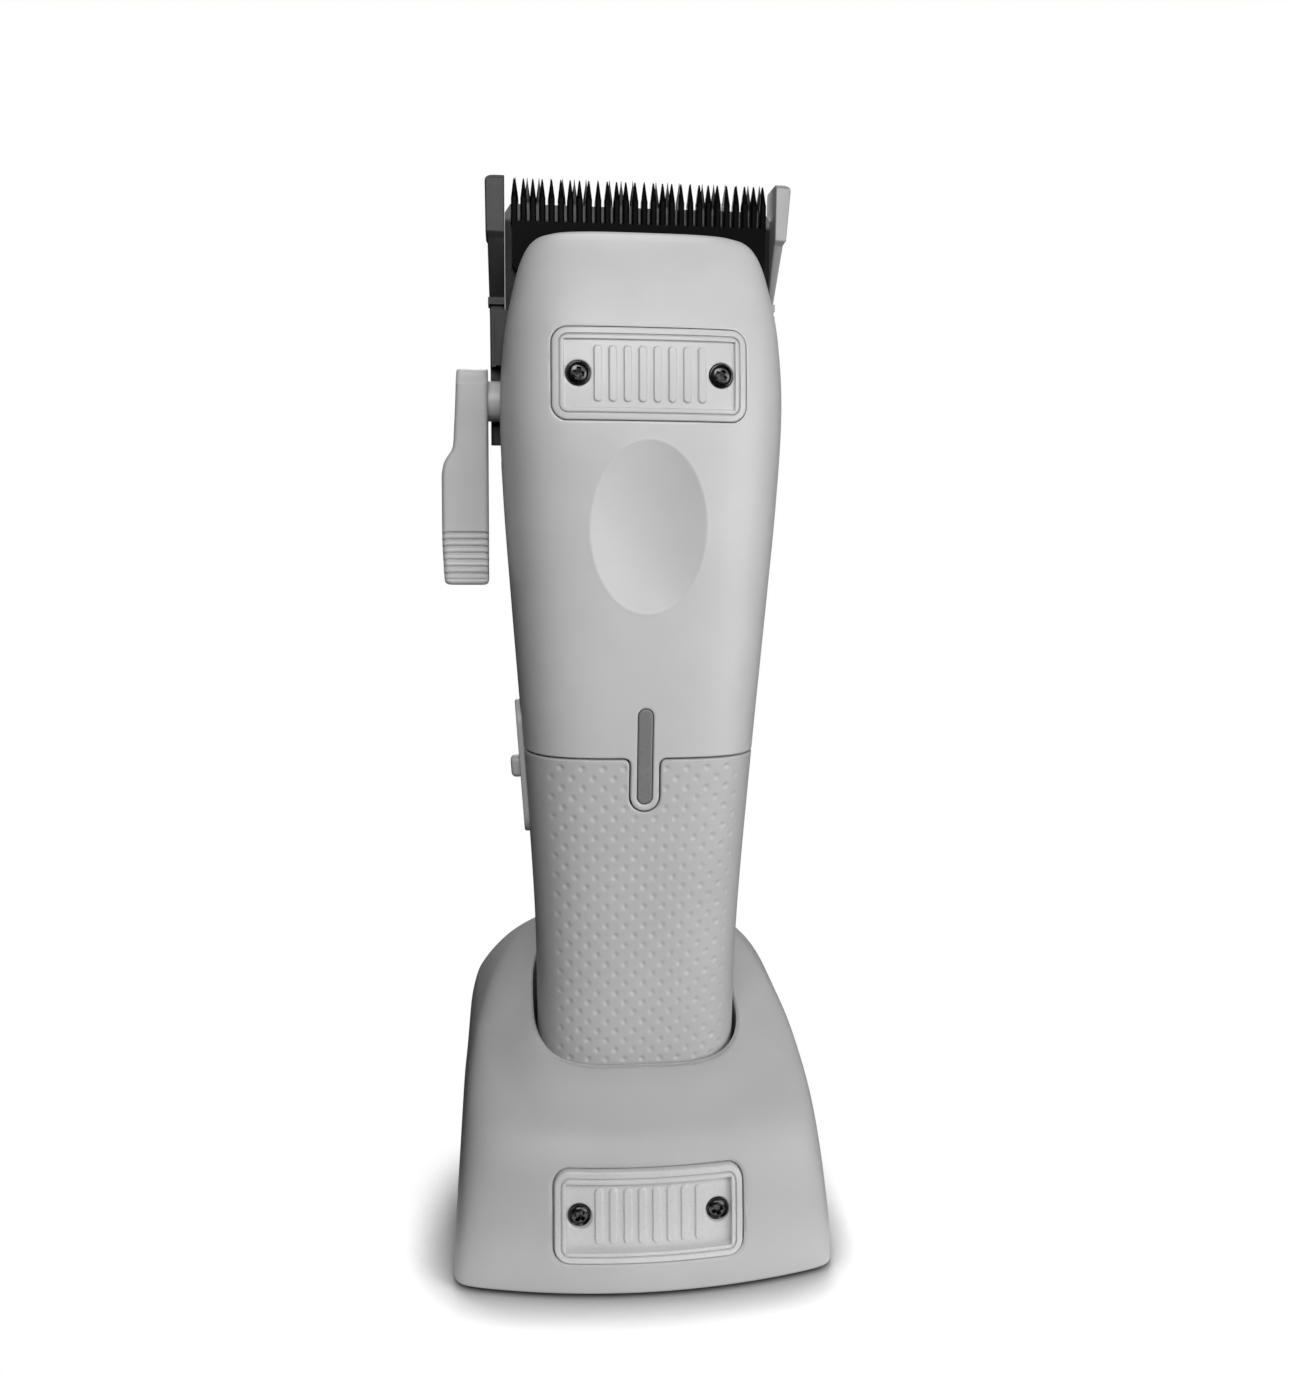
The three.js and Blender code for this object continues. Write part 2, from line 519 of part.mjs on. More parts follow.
function bladeBracket() {
  const tongue = join(
    box(-19, -17, -0.2, 5.2, 131.8, BLADE_LOW - GAP),
    box(-19, -17, -0.2, BLADE_FRONT - GAP, 139, 141),
  );
  const slot = box(-20, -16, 0.4, 4.6, PIVOT.z - 1.7, PIVOT.z + 1.7);
  const web = box(-ARM_IN - 0.5, ARM_IN + 0.5, -0.2, BLADE_FRONT - GAP, BLADE_LOW, 151);
  const outline = new THREE.Shape();
  outline.moveTo(2.6, 127.9);
  outline.lineTo(6.5, 127.9);
  outline.lineTo(6.5, ARM_STEP - 1.5);
  outline.lineTo(5.2, ARM_STEP);
  outline.lineTo(5.2, ARM_TOP - 0.8);
  outline.lineTo(4.4, ARM_TOP);
  outline.lineTo(-2.2, ARM_TOP);
  outline.lineTo(-3, ARM_TOP - 0.8);
  outline.lineTo(-3, ARM_STEP);
  outline.lineTo(-2.2, ARM_STEP - 0.8);
  outline.lineTo(2.6, ARM_LEDGE);
  const arms = [-1, 1].map((s) => cut(
    sidePrism(outline, Math.min(s * ARM_IN, s * ARM_TAB_OUT), Math.max(s * ARM_IN, s * ARM_TAB_OUT)),
    box(Math.min(s * ARM_OUT, s * 30), Math.max(s * ARM_OUT, s * 30), -10, 10, 120, ARM_STEP)));
  const span = (s, near, far, ...rest) =>
    box(Math.min(s * near, s * far), Math.max(s * near, s * far), ...rest);
  const ledges = [-1, 1].map((s) => span(s, ARM_IN, ARM_OUT + 0.5, 1.8, 7, ARM_LEDGE - 1, ARM_LEDGE + 0.2));
  const ears = [-1, 1].map((s) => span(s, ARM_IN - 0.2, ARM_OUT, -0.2, 3.6, BLADE_LOW + 1, 151));
  const notch = box(-30, -20, -5, 4.5, PIVOT.z - 4.2, PIVOT.z + 6.2);
  const holes = BLADE_SCREWS.map((x) => rod("y", 1.7, [x, -3, BLADE_SCREW_Z], 8, 16));
  const whole = join(web, tongue, ...arms, ...ears, ...ledges);
  return cut(whole, notch.subtract(box(-23, -10, -9, 9, 100, 170)), slot, ...holes);
}
place(clipper, "blade_bracket", bladeBracket(), "steel");

BLADE_SCREWS.forEach((x, k) => {
  const side = k ? "right" : "left";
  const screw = place(clipper, `blade_screw_${side}`, crossScrew(3.0, 1.4, 1.3, 3.6), "steel");
  screw.position.set(x, BLADE_BACK + GAP + 1.4, BLADE_SCREW_Z);
  screw.rotation.z = Math.PI;
});

// The fork that the crank pin drives, and the leaf spring that holds the moving blade on the fixed one.
const forkBlock = cut(box(-6, 6, MOTOR.y - 4.4, MOTOR.y + 3.3, 138.6, 142.4),
  box(-3.6, 3.6, MOTOR.y - 2.6, MOTOR.y + 2.6, 138, 143));
const forkNeck = join(box(-3, 3, -8.6, -6.6, 142, 156.6), box(-3, 3, -8.6, CUTTER_FRONT - GAP, 154, 157.6),
  box(-8, 8, -2.4, CUTTER_FRONT - GAP, 153.4, 158.4));
place(clipper, "drive_fork", join(forkBlock, forkNeck), "black");

const springLegs = [-1, 1].map((s) => join(box(s * 13 - 1.5, s * 13 + 1.5, -2.4, -1.6, 144.6, 160),
  box(s * 13 - 1.5, s * 13 + 1.5, -2.4, -1.0, 159, 160.4)));
place(clipper, "tension_spring", join(
  box(-20.4, -11.5, -2.4, -1.6, 144.6, 148), box(11.5, 20.4, -2.4, -1.6, 144.6, 148),
  box(-20.4, -19.4, -4, -1.6, 144.6, 148), box(19.4, 20.4, -4, -1.6, 144.6, 148),
  box(-14.5, 14.5, -2.4, -1.6, 144.6, 146.4), ...springLegs), "steel");

// ---------------------------------------------------------------- taper lever
const LEVER = { out: -31.9, wide: -34.7, inner: -26.6, high: 140.9, low: 103.2 };

function taperLever() {
  const face = new THREE.Shape();
  face.moveTo(LEVER.inner, LEVER.high);
  face.lineTo(LEVER.out + 1, LEVER.high);
  face.quadraticCurveTo(LEVER.out, LEVER.high, LEVER.out - 0.1, LEVER.high - 1.2);
  face.lineTo(LEVER.out - 0.7, 128.8);
  face.bezierCurveTo(LEVER.out - 0.9, 126.2, LEVER.wide + 0.2, 127.2, LEVER.wide, 123.6);
  face.lineTo(LEVER.wide - 0.1, 112);
  face.lineTo(LEVER.wide + 0.5, LEVER.low + 0.8);
  face.quadraticCurveTo(LEVER.wide + 0.6, LEVER.low, LEVER.wide + 1.4, LEVER.low);
  face.lineTo(LEVER.inner, LEVER.low);
  const side = new THREE.Shape();
  side.absarc(PIVOT.y, PIVOT.z, 4.6, 0, Math.PI);
  side.lineTo(-3.4, 112.5);
  side.quadraticCurveTo(-3.8, 107.5, -6.2, LEVER.low);
  side.lineTo(0.4, LEVER.low);
  side.quadraticCurveTo(3.6, 112, 4.4, 124);
  const grooves = Array.from({ length: 6 }, (_, k) => {
    const z = LEVER.low + 1.3 + k * 1.3;
    const y = -6.2 + 2.8 * Math.sqrt((z - LEVER.low) / 9.5);
    return box(-40, -20, y - 3, y + 0.35, z - 0.25, z + 0.25);
  });
  const hub = rod("x", 3.5, [-27.5, PIVOT.y, PIVOT.z], 3.7, 20);
  return cut(join(frontPrism(face, -9, 9).intersect(sidePrism(side, -40, -20)), hub),
    rod("x", 2.8, [-29.4, PIVOT.y, PIVOT.z], 12, 20), rod("x", 2.5, [-40, PIVOT.y, PIVOT.z], 8.9, 20),
    rod("x", 1.5, [-40, PIVOT.y, PIVOT.z], 12, 12), ...grooves);
}
place(clipper, "taper_lever", taperLever(), "casing");
const leverShaft = cut(
  join(rod("x", 2.5, [-29.1, PIVOT.y, PIVOT.z], 8.6, 20), rod("x", 2.5, [-20.7, PIVOT.y, PIVOT.z], 1.2, 20),
    rod("x", 1.8, [-20.7, PIVOT.y + CAM_THROW, PIVOT.z], 1.2, 20),
    rod("x", 1.3, [-19.6, PIVOT.y + CAM_THROW, PIVOT.z], 3.4, 14)),
  rod("x", 1.2, [-32, PIVOT.y, PIVOT.z], 8, 12));
place(clipper, "lever_cam_shaft", leverShaft, "steel");
const leverScrew = place(clipper, "lever_screw", crossScrew(2.1, 1.1, 0.85, 5), "blackSteel");
leverScrew.position.set(-32.3, PIVOT.y, PIVOT.z);
leverScrew.rotation.z = -Math.PI / 2;

// ---------------------------------------------------------------- charging contacts on the clipper
for (const [side, s] of [["left", -1], ["right", 1]]) {
  place(clipper, `charge_contact_${side}`,
    join(rod("z", 2.0, [s * CONTACT_X, 0, 0.4], 3.4, 16), rod("z", 2.9, [s * CONTACT_X, 0, 3.3 - 1], 1.1, 16)
      .intersect(box(-20, 20, -20, 20, 2.3, 3.4))), "brass");
}

// ---------------------------------------------------------------- dock
// The same slide into the clipper's frame for pieces of the dock that line up with the socket.
const lean = (solid) => solid.rotate([(-LEAN * 180) / Math.PI, 0, 0]).translate([0, SEAT_Y, SEAT_Z]);

function dockFront(x, z) {
  const ring = dockRing(z, 0, 400);
  const front = ring.filter((p) => p[1] < 0).sort((a, b) => Math.abs(a[0] - x) - Math.abs(b[0] - x));
  return front[0][1];
}

const dockPlateSlice = (grow, outer, inner) =>
  cut(dockSolid(outer, 3, 27), dockSolid(inner, 2, 28))
    .intersect(frontPrism(plateOutline(DOCK_PLATE_Z, grow), -60, -20));

function dockShell() {
  const outer = dockSolid(0, DOCK[0][0], DOCK[DOCK.length - 1][0]);
  const inner = dockSolid(-DOCK_WALL, 0, DOCK[DOCK.length - 1][0] - DOCK_WALL,
    { every: 3, lift: DOCK_WALL });
  const cup = lean(formCup(SOCKET_FLOOR - SOCKET_WALL, 60, SOCKET_GAP + SOCKET_WALL)).intersect(outer);
  const cavity = lean(formCup(SOCKET_FLOOR, 70, SOCKET_GAP));
  const bosses = DOCK_SCREWS.map(([x, y]) => rod("z", 3.2, [x, y, 4], 30, 14).intersect(outer));
  const ring = cut(outer, inner);
  const pilots = DOCK_SCREWS.map(([x, y]) => rod("z", 1.5, [x, y, 0], 14, 12));
  const solid = cut(join(ring, cup, ...bosses), cavity, ...pilots,
    dockPlateSlice(GAP, 2, PLATE.proud - PLATE.thick - GAP),
    ...[-1, 1].map((s) => rod("y", 1.9, [s * PLATE_SCREW_X, -41, DOCK_PLATE_Z], 14, 14)),
    lean(box(-10, 10, -4.5, 4.5, SOCKET_FLOOR - 6, SOCKET_FLOOR + 1)),
    box(-4.8, 4.8, 30, 50, 6.2, 9.9));
  return solid;
}

// The socket's form: the clipper's lower body, grown, with a flat floor and no rounding at its bottom edge.
function formCup(z0, z1, grow) {
  return loft([z0, 12, 30, 50, z1].map((z) => formRing(Math.max(z, 6), grow).map(([x, y]) => [x, y, z])));
}

const DOCK_SCREWS = [[-25, -23], [25, -23], [-25, 24], [25, 24]];
place(root, "dock_shell", dockShell(), "dock");

const basePlate = cut(
  loft([1.3, 3.3].map((z) => dockRing(2, -DOCK_WALL - 2 * GAP).map(([x, y]) => [x, y, z]))),
  ...DOCK_SCREWS.map(([x, y]) => rod("z", 1.7, [x, y, 0], 6, 12)),
  ...DOCK_SCREWS.map(([x, y]) => rod("z", 3.1, [x, y, 0], 2.4, 16)));
place(root, "dock_base_plate", basePlate, "black");
place(root, "dock_rubber_pad",
  loft([0, 1.0].map((z) => dockRing(2, -DOCK_WALL - 1.6).map(([x, y]) => [x, y, z]))), "rubber");
DOCK_SCREWS.forEach(([x, y], k) => {
  const screw = place(root, `dock_base_screw_${k + 1}`, crossScrew(2.7, 1.0, 1.15, 8), "steel");
  screw.position.set(x, y, 1.4);
  screw.rotation.x = Math.PI / 2;
});

place(root, "dock_nameplate", cut(dockPlateSlice(0, PLATE.proud, PLATE.proud - PLATE.thick),
  ...[-1, 1].map((s) => rod("y", 2.1, [s * PLATE_SCREW_X, -50, DOCK_PLATE_Z], 20, 18))), "plate");
for (const [side, s] of [["left", -1], ["right", 1]]) {
  const screw = place(root, `dock_plate_screw_${side}`, crossScrew(1.75, 1.0, 0.9, 4.2), "blackSteel");
  screw.position.set(s * PLATE_SCREW_X, dockFront(PLATE_SCREW_X, DOCK_PLATE_Z) + 0.25, DOCK_PLATE_Z);
}

// Spring contacts under the clipper, in an insulating block that closes the window in the socket's floor.
const dockLean = new THREE.Group();
dockLean.position.copy(clipper.position);
dockLean.rotation.copy(clipper.rotation);
root.add(dockLean);
const blockHoles = [-1, 1].map((s) => rod("z", 2.1, [s * CONTACT_X, 0, -20], 30, 16));
const blockBody = box(-9.7, 9.7, -4.2, 4.2, SOCKET_FLOOR - 6.2, SOCKET_FLOOR);
place(dockLean, "contact_block", cut(blockBody, ...blockHoles), "black");
for (const [side, s] of [["left", -1], ["right", 1]]) {
  place(dockLean, `contact_pin_${side}`, join(rod("z", 1.0, [s * CONTACT_X, 0, -2.2], 2.3, 14),
    rod("z", 1.8, [s * CONTACT_X, 0, -3.0], 0.9, 16)), "brass");
  place(dockLean, `contact_spring_${side}`, cut(rod("z", 1.7, [s * CONTACT_X, 0, -7.1], 3.8, 16),
    rod("z", 1.2, [s * CONTACT_X, 0, -8], 6, 12)), "steel");
}
const boardHoles = [-11, 11].map((x) => rod("z", 1.2, [x, 0, -10], 5, 12));
const dockBoard = cut(box(-13, 13, -8, 8, -9.1, -7.5), ...boardHoles);
place(dockLean, "dock_circuit_board", dockBoard, "board");

const inlet = cut(
  frontPrism(roundedRect(0, 8.05, 9, 3.1, 1.5), 30, 37.6),
  frontPrism(roundedRect(0, 8.05, 8.2, 2.3, 1.1), 32, 40),
).add(box(-2.9, 2.9, 30.5, 36.6, 7.75, 8.35));
place(root, "charging_inlet", inlet, "steel");
place(root, "dock_ballast", cut(box(-21, 21, 13, 28, 3.7, 6.7), box(-6, 6, 27, 40, 0, 9)), "steel");

export default root;
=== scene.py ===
"""A cordless clipper standing in its charging dock: visible surfaces, finishes, light and camera.

Forms are worked out in millimetres, in the clipper's own frame (origin at the middle of its bottom end,
+Z to the blade, front towards -Y) or in the dock's. settle() puts them in the row frame, in metres.
"""

import math

import bmesh
import bpy
import numpy as np
from mathutils import Matrix, Vector

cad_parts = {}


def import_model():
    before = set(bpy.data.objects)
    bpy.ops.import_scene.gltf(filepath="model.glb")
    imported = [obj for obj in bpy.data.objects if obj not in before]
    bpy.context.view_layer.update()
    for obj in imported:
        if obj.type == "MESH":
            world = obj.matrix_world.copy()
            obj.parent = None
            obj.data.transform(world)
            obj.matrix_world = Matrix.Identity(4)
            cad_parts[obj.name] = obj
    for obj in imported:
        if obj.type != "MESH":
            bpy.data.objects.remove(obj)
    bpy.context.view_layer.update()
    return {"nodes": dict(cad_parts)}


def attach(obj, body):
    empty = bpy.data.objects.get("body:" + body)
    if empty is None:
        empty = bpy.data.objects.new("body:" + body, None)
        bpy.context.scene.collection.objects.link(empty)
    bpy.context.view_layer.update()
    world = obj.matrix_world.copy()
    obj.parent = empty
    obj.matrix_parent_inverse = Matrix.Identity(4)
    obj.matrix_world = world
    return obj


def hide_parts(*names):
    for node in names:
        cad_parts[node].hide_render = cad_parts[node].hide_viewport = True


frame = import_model()

# -------- driving dimensions, as in the CAD
LEAN = math.radians(4.4)
SEAT_Y, SEAT_Z = -5.0, 14.0
GAP = 0.3
SEAM = 0.08
WALL = 2.2
PART_Z = 74.3
SPLIT_Y = 1.0
HEAD_Z = 125.0
HEAD_SPLIT_Y = -4.5
TOP_Z = 163.1
GRIP_LOW = 6.0
FORM_POWER = 3.4
FORM = np.array([  # height, half width, reach forward, reach back
    [0, 14.6, 11.6, 11.4], [0.7, 16.4, 13.3, 13.1], [2.5, 17.7, 14.6, 14.2], [6, 18.2, 15.2, 14.8],
    [20, 18.1, 15.6, 15.2], [43, 18.6, 16.2, 15.7], [74.3, 20.7, 17.4, 15.8], [100, 22.7, 18.8, 14.6],
    [118, 24.0, 20.0, 12.6], [134, 24.6, 20.3, 9.6], [146, 23.8, 18.6, 7.8], [153, 22.5, 16.3, 7.0],
    [158, 21.2, 13.6, 6.5], [161, 19.8, 11.2, 6.2], [162.5, 18.2, 9.4, 6.1], [163.1, 16.4, 8.2, 6.0],
])
DOCK = np.array([  # height, half width, front y, back y, corner power
    [1, 33.4, -33.2, 33.2, 26], [8, 32.9, -32.6, 33.1, 26], [14, 32.3, -31.6, 32.8, 22],
    [20, 31.8, -29.8, 32.2, 16], [25, 31.4, -26.8, 31.5, 12], [28, 31.1, -23.5, 30.9, 10],
    [31, 30.6, -18.5, 29.9, 8.5], [34, 29.8, -13.0, 28.7, 7.5], [36, 28.9, -9.0, 27.7, 6.5],
    [38, 27.8, -4.6, 26.5, 5.6], [40, 26.5, 0.0, 25.1, 4.8], [42, 24.9, 4.2, 23.5, 4.3],
    [44, 22.9, 8.0, 21.8, 3.9], [46, 20.3, 11.2, 20.0, 3.4], [47.8, 17.0, 13.2, 18.5, 3.0],
    [49.2, 11.9, 14.4, 17.4, 2.6], [50, 7.1, 15.2, 16.8, 2.3],
])
FRONT_BULGE = 4.8
DOCK_WALL = 2.4
SOCKET_GAP = 0.8
SOCKET_WALL = 2.0
SOCKET_FLOOR = -1.2
RIM_RADIUS = 0.5
LIP_RISE, LIP_WIDTH = 1.4, 9.0
DOCK_LOW, DOCK_TOP = 1.0, 50.0

PLATE_HALF_X, PLATE_HALF_Z, PLATE_CORNER = 16.1, 7.5, 2.6
PLATE_Z, DOCK_PLATE_Z = 138.6, 14.2
PLATE_PROUD, PLATE_THICK, PLATE_GAP = 0.25, 1.2, 0.15
PLATE_SCREW_X, PLATE_WELL = 11.8, 2.1
PLATE_GROOVE, GROOVE_IN, GROOVE_OUT, PANEL_EDGE = 0.42, (0.98, 1.12), (1.18, 1.34), (1.88, 2.04)
BARS, BAR_PITCH, BAR_HALF_X, BAR_HALF_Z, BAR_RISE = 8, 2.45, 0.72, 4.6, 0.32
OVAL_Z, OVAL_HALF_X, OVAL_HALF_Z, OVAL_DEPTH, OVAL_BEAD = 113.6, 9.75, 14.35, 2.1, 0.05
LAMP_HALF, LAMP_LOW, LAMP_HIGH = 1.25, 66.2, 82.9
LAMP_Z, LAMP_HALF_Z = (LAMP_LOW + LAMP_HIGH) / 2, (LAMP_HIGH - LAMP_LOW) / 2
TAB_HALF, TAB_LOW, TAB_FILLET, TAB_REACH = 2.45, 65.0, 1.3, 20
EDGE = 0.3
DIMPLE_PITCH_X, DIMPLE_PITCH_Z = 3.65 / 20.7, 1.77
DIMPLE_RADIUS, DIMPLE_DEPTH = 0.74, 0.22
PIVOT_Y, PIVOT_Z = 0.6, 135.3
CONTACT_X = 5.0
HOUSING_SCREWS = [(-14.5, 88), (14.5, 88), (-12, 58), (12, 58)]
DOCK_SCREWS = [(-25, -23), (25, -23), (-25, 24), (25, 24)]
WELL_RADIUS, WELL_DEPTH, SHANK_HOLE = 3.1, 1.5, 1.9
SWITCH_Z, SWITCH_LENGTH, SWITCH_WIDTH, SWITCH_TRAVEL = 70.0, 24.5, 9.0, 4.0
KNOB_HALF = 1.95

FIXED_TEETH, FIXED_PITCH, FIXED_ROOT, FIXED_TIP = 22, 2.06, 169.3, 173.9
CUTTER_TEETH, CUTTER_PITCH, CUTTER_ROOT, CUTTER_TIP = 28, 1.62, 166.0, 173.3
CUTTER_MARGIN, CUTTER_LOW, CUTTER_CHAMFER = 0.4, 152.6, (5, 6)
BLADE_SCREW_X, BLADE_SCREW_Z = 12, 145

FAR, TALL = 40, 200  # past the clipper's sides, and past its top
AHEAD, MIDDLE = -60, -3  # in front of everything, and just ahead of the clipper's middle

# sampled heights as (start, end, step), closest where an edge or a curve needs it
FRONT_ROWS = [
    (63.5, 73.5, 0.3), (73.5, 75.3, 0.1), (75.3, 98, 0.36),
    (98, 129, 0.22), (129, 159, 0.3), (159, TOP_Z, 0.12),
]
REAR_ROWS = [(PART_Z, PART_Z + 1, 0.12), (PART_Z + 1, HEAD_Z - GAP, 0.5)]
GRIP_ROWS = [(GRIP_LOW, 72.6, 0.25), (72.6, PART_Z - GAP, 0.1)]
CAP_ROWS = [(0, 2.6, 0.1), (2.6, GRIP_LOW - GAP, 0.2)]
DOCK_ROWS = [(DOCK_LOW, 2.2, 0.1), (2.2, 30, 0.34), (30, 46, 0.2), (46, DOCK_TOP, 0.1)]


# -------- shaping
def read_table(table, z):
    """Smooth reading of a table's columns at heights (Catmull-Rom through the rows)."""
    z = np.atleast_1d(np.asarray(z, float))
    rows = table[:, 0]
    i = np.clip(np.searchsorted(rows, z, side="right") - 1, 0, len(rows) - 2)
    a, b = table[np.maximum(i - 1, 0)], table[i]
    c, d = table[i + 1], table[np.minimum(i + 2, len(rows) - 1)]
    span = (c - b)[..., :1]
    t = np.clip((z[..., None] - b[..., :1]) / span, 0, 1)
    rise = (c - a) / (c - a)[..., :1] * span
    fall = (d - b) / (d - b)[..., :1] * span
    value = (2 * t**3 - 3 * t**2 + 1) * b + (t**3 - 2 * t**2 + t) * rise
    value += (3 * t**2 - 2 * t**3) * c + (t**3 - t**2) * fall
    return np.moveaxis(value[..., 1:], -1, 0)


def read_grid(table, z):
    """A table's columns over a grid of heights."""
    return [column.reshape(np.shape(z)) for column in read_table(table, np.ravel(z))]


def smooth_step(low, high, value):
    t = np.clip((value - low) / (high - low), 0, 1)
    return t * t * (3 - 2 * t)


def fillet(distance, radius):
    """How far a rounded edge of that radius has dropped, at a distance in from the edge."""
    near = np.clip(radius - distance, 0, radius)
    return radius - np.sqrt(np.maximum(radius**2 - near**2, 0))


def rounded_distance(x, z, half_x, half_z, radius):
    """Distance outside a rounded rectangle's outline, negative inside."""
    qx, qz = np.abs(x) - half_x + radius, np.abs(z) - half_z + radius
    return np.hypot(np.maximum(qx, 0), np.maximum(qz, 0)) + np.minimum(np.maximum(qx, qz), 0) - radius


def rounded_outline(cx, cz, half_x, half_z, radius, steps=16):
    points = []
    for k, (sx, sz) in enumerate([(1, -1), (1, 1), (-1, 1), (-1, -1)]):
        for turn in np.linspace(-math.pi / 2, 0, steps) + k * math.pi / 2:
            points.append((
                cx + sx * (half_x - radius) + radius * math.cos(turn),
                cz + sz * (half_z - radius) + radius * math.sin(turn),
            ))
    return points


def spaced(*spans):
    """Heights from spans of (start, end, step), ends included."""
    parts = [np.linspace(a, b, max(2, round((b - a) / step) + 1)) for a, b, step in spans]
    return np.unique(np.round(np.concatenate(parts), 5))


def round_angles(front, back, corners=0):
    """Angles once round from +X, with their counts over the front and back halves."""
    turns = np.concatenate([
        np.linspace(0, math.pi, back, endpoint=False),
        np.linspace(math.pi, 2 * math.pi, front, endpoint=False),
    ])
    if corners:
        for k in range(4):
            middle = math.pi / 4 + k * math.pi / 2
            turns = np.append(turns, np.linspace(middle - 0.07, middle + 0.07, corners))
    return np.unique(np.round(turns, 6))


def squarish(angle, power):
    c, s = np.cos(angle)[None, :], np.sin(angle)[None, :]
    power = np.atleast_1d(power)[:, None]
    reach = (np.abs(c) ** power + np.abs(s) ** power) ** (-1 / power)
    return c * reach, s * reach


def form_points(z, angle, grow=0.0):
    """The clipper's outer form, as a grid of heights by angles."""
    half, front, back = read_table(FORM, z)
    x, y = squarish(angle, FORM_POWER)
    depth = np.where(y < 0, front[:, None], back[:, None]) + grow
    x, y = x * (half[:, None] + grow), y * depth
    return np.stack([x, y, np.broadcast_to(np.asarray(z)[:, None], x.shape)], -1)


def form_face(x, z, front=True):
    """Y of the clipper's front or rear face."""
    half, ahead, behind = read_grid(FORM, z)
    share = (1 - np.minimum(np.abs(x / half), 1) ** FORM_POWER) ** (1 / FORM_POWER)
    return -ahead * share if front else behind * share


def dock_points(z, angle, grow=0.0):
    half, front, back, power = read_table(DOCK, z)
    w, d, middle = half + grow, (back - front) / 2 + grow, (back + front) / 2
    share = np.minimum(1, 1.3 * w / DOCK[0, 1])
    x, y = squarish(angle, power)
    out = middle[:, None] + y * d[:, None] + np.sign(y) * FRONT_BULGE * share[:, None] * (1 - x * x)
    return np.stack([x * w[:, None], out, np.broadcast_to(np.asarray(z)[:, None], out.shape)], -1)


def dock_face(x, z):
    half, front, _, _ = read_grid(DOCK, z)
    return front - FRONT_BULGE * (1 - (x / half) ** 2)


def leaned(points):
    """From the clipper's frame to the dock's, in millimetres."""
    x, y, z = np.moveaxis(points, -1, 0)
    c, s = math.cos(LEAN), math.sin(LEAN)
    return np.stack([x, c * y + s * z + SEAT_Y, -s * y + c * z + SEAT_Z], -1)


def unleaned(points):
    x, y, z = points[..., 0], points[..., 1] - SEAT_Y, points[..., 2] - SEAT_Z
    c, s = math.cos(LEAN), math.sin(LEAN)
    return np.stack([x, c * y - s * z, s * y + c * z], -1)


def sink(points, depth):
    """Moves a closed grid's points into the body along its normals."""
    along = np.roll(points, -1, 1) - np.roll(points, 1, 1)
    up = np.gradient(points, axis=0)
    normal = np.cross(along, up)
    normal /= np.maximum(np.linalg.norm(normal, axis=-1, keepdims=True), 1e-9)
    return points - normal * depth[..., None]


# -------- meshes
def new_object(name, points, faces):
    mesh = bpy.data.meshes.new(name)
    mesh.from_pydata(np.asarray(points, float).tolist(), [], faces)
    mesh.validate()
    made = bpy.data.objects.new(name, mesh)
    bpy.context.scene.collection.objects.link(made)
    return made


def turn_outward(made):
    bm = bmesh.new()
    bm.from_mesh(made.data)
    bmesh.ops.recalc_face_normals(bm, faces=bm.faces)
    bm.to_mesh(made.data)
    bm.free()
    return made


def ring_solid(name, rings):
    """A closed solid through rings of points, anticlockwise from above."""
    rows, count = rings.shape[:2]
    k = np.arange(count)
    after = (k + 1) % count
    base = (np.arange(rows - 1) * count)[:, None]
    quads = np.stack([base + k, base + after, base + count + after, base + count + k], -1).reshape(-1, 4)
    points = np.concatenate([rings.reshape(-1, 3), [rings[0].mean(0)], [rings[-1].mean(0)]])
    low, top = rows * count, (rows - 1) * count
    caps = [(low, int(b), int(a)) for a, b in zip(k, after)]
    caps += [(low + 1, int(top + a), int(top + b)) for a, b in zip(k, after)]
    return new_object(name, points, quads.tolist() + caps)


def mirrored(right):
    """A closed outline from its right half, listed upward."""
    left = [(-x, z) for x, z in right]
    return left[:1] + right + left[:0:-1]


def prism(name, outline, low, high, axis="y"):
    """A flat outline extruded: in X and Z along Y, in Y and Z along X, or in X and Y along Z."""
    order = {"y": (0, 2, 1), "x": (1, 2, 0), "z": (0, 1, 2)}[axis]
    points = np.zeros((2 * len(outline), 3))
    points[:, order[0]] = [p[0] for p in outline] * 2
    points[:, order[1]] = [p[1] for p in outline] * 2
    points[:, order[2]] = [low] * len(outline) + [high] * len(outline)
    n = len(outline)
    sides = [(k, (k + 1) % n, (k + 1) % n + n, k + n) for k in range(n)]
    return turn_outward(new_object(name, points, [tuple(range(n)), tuple(range(n, 2 * n))] + sides))


def box(x0, x1, y0, y1, z0, z1):
    return prism("tool", [(x0, y0), (x1, y0), (x1, y1), (x0, y1)], z0, z1, "z")


def circle(cx, cy, radius, sides=48):
    turns = np.arange(sides) * 2 * math.pi / sides
    return [(cx + radius * math.cos(t), cy + radius * math.sin(t)) for t in turns]


def rod(axis, radius, centre, low, high, sides=48):
    return prism("tool", circle(*centre, radius, sides), low, high, axis)


def before(y):
    return box(-FAR, FAR, -FAR, y, 0, TALL)


def behind(y, low=0):
    return box(-FAR, FAR, y, FAR, low, TALL)


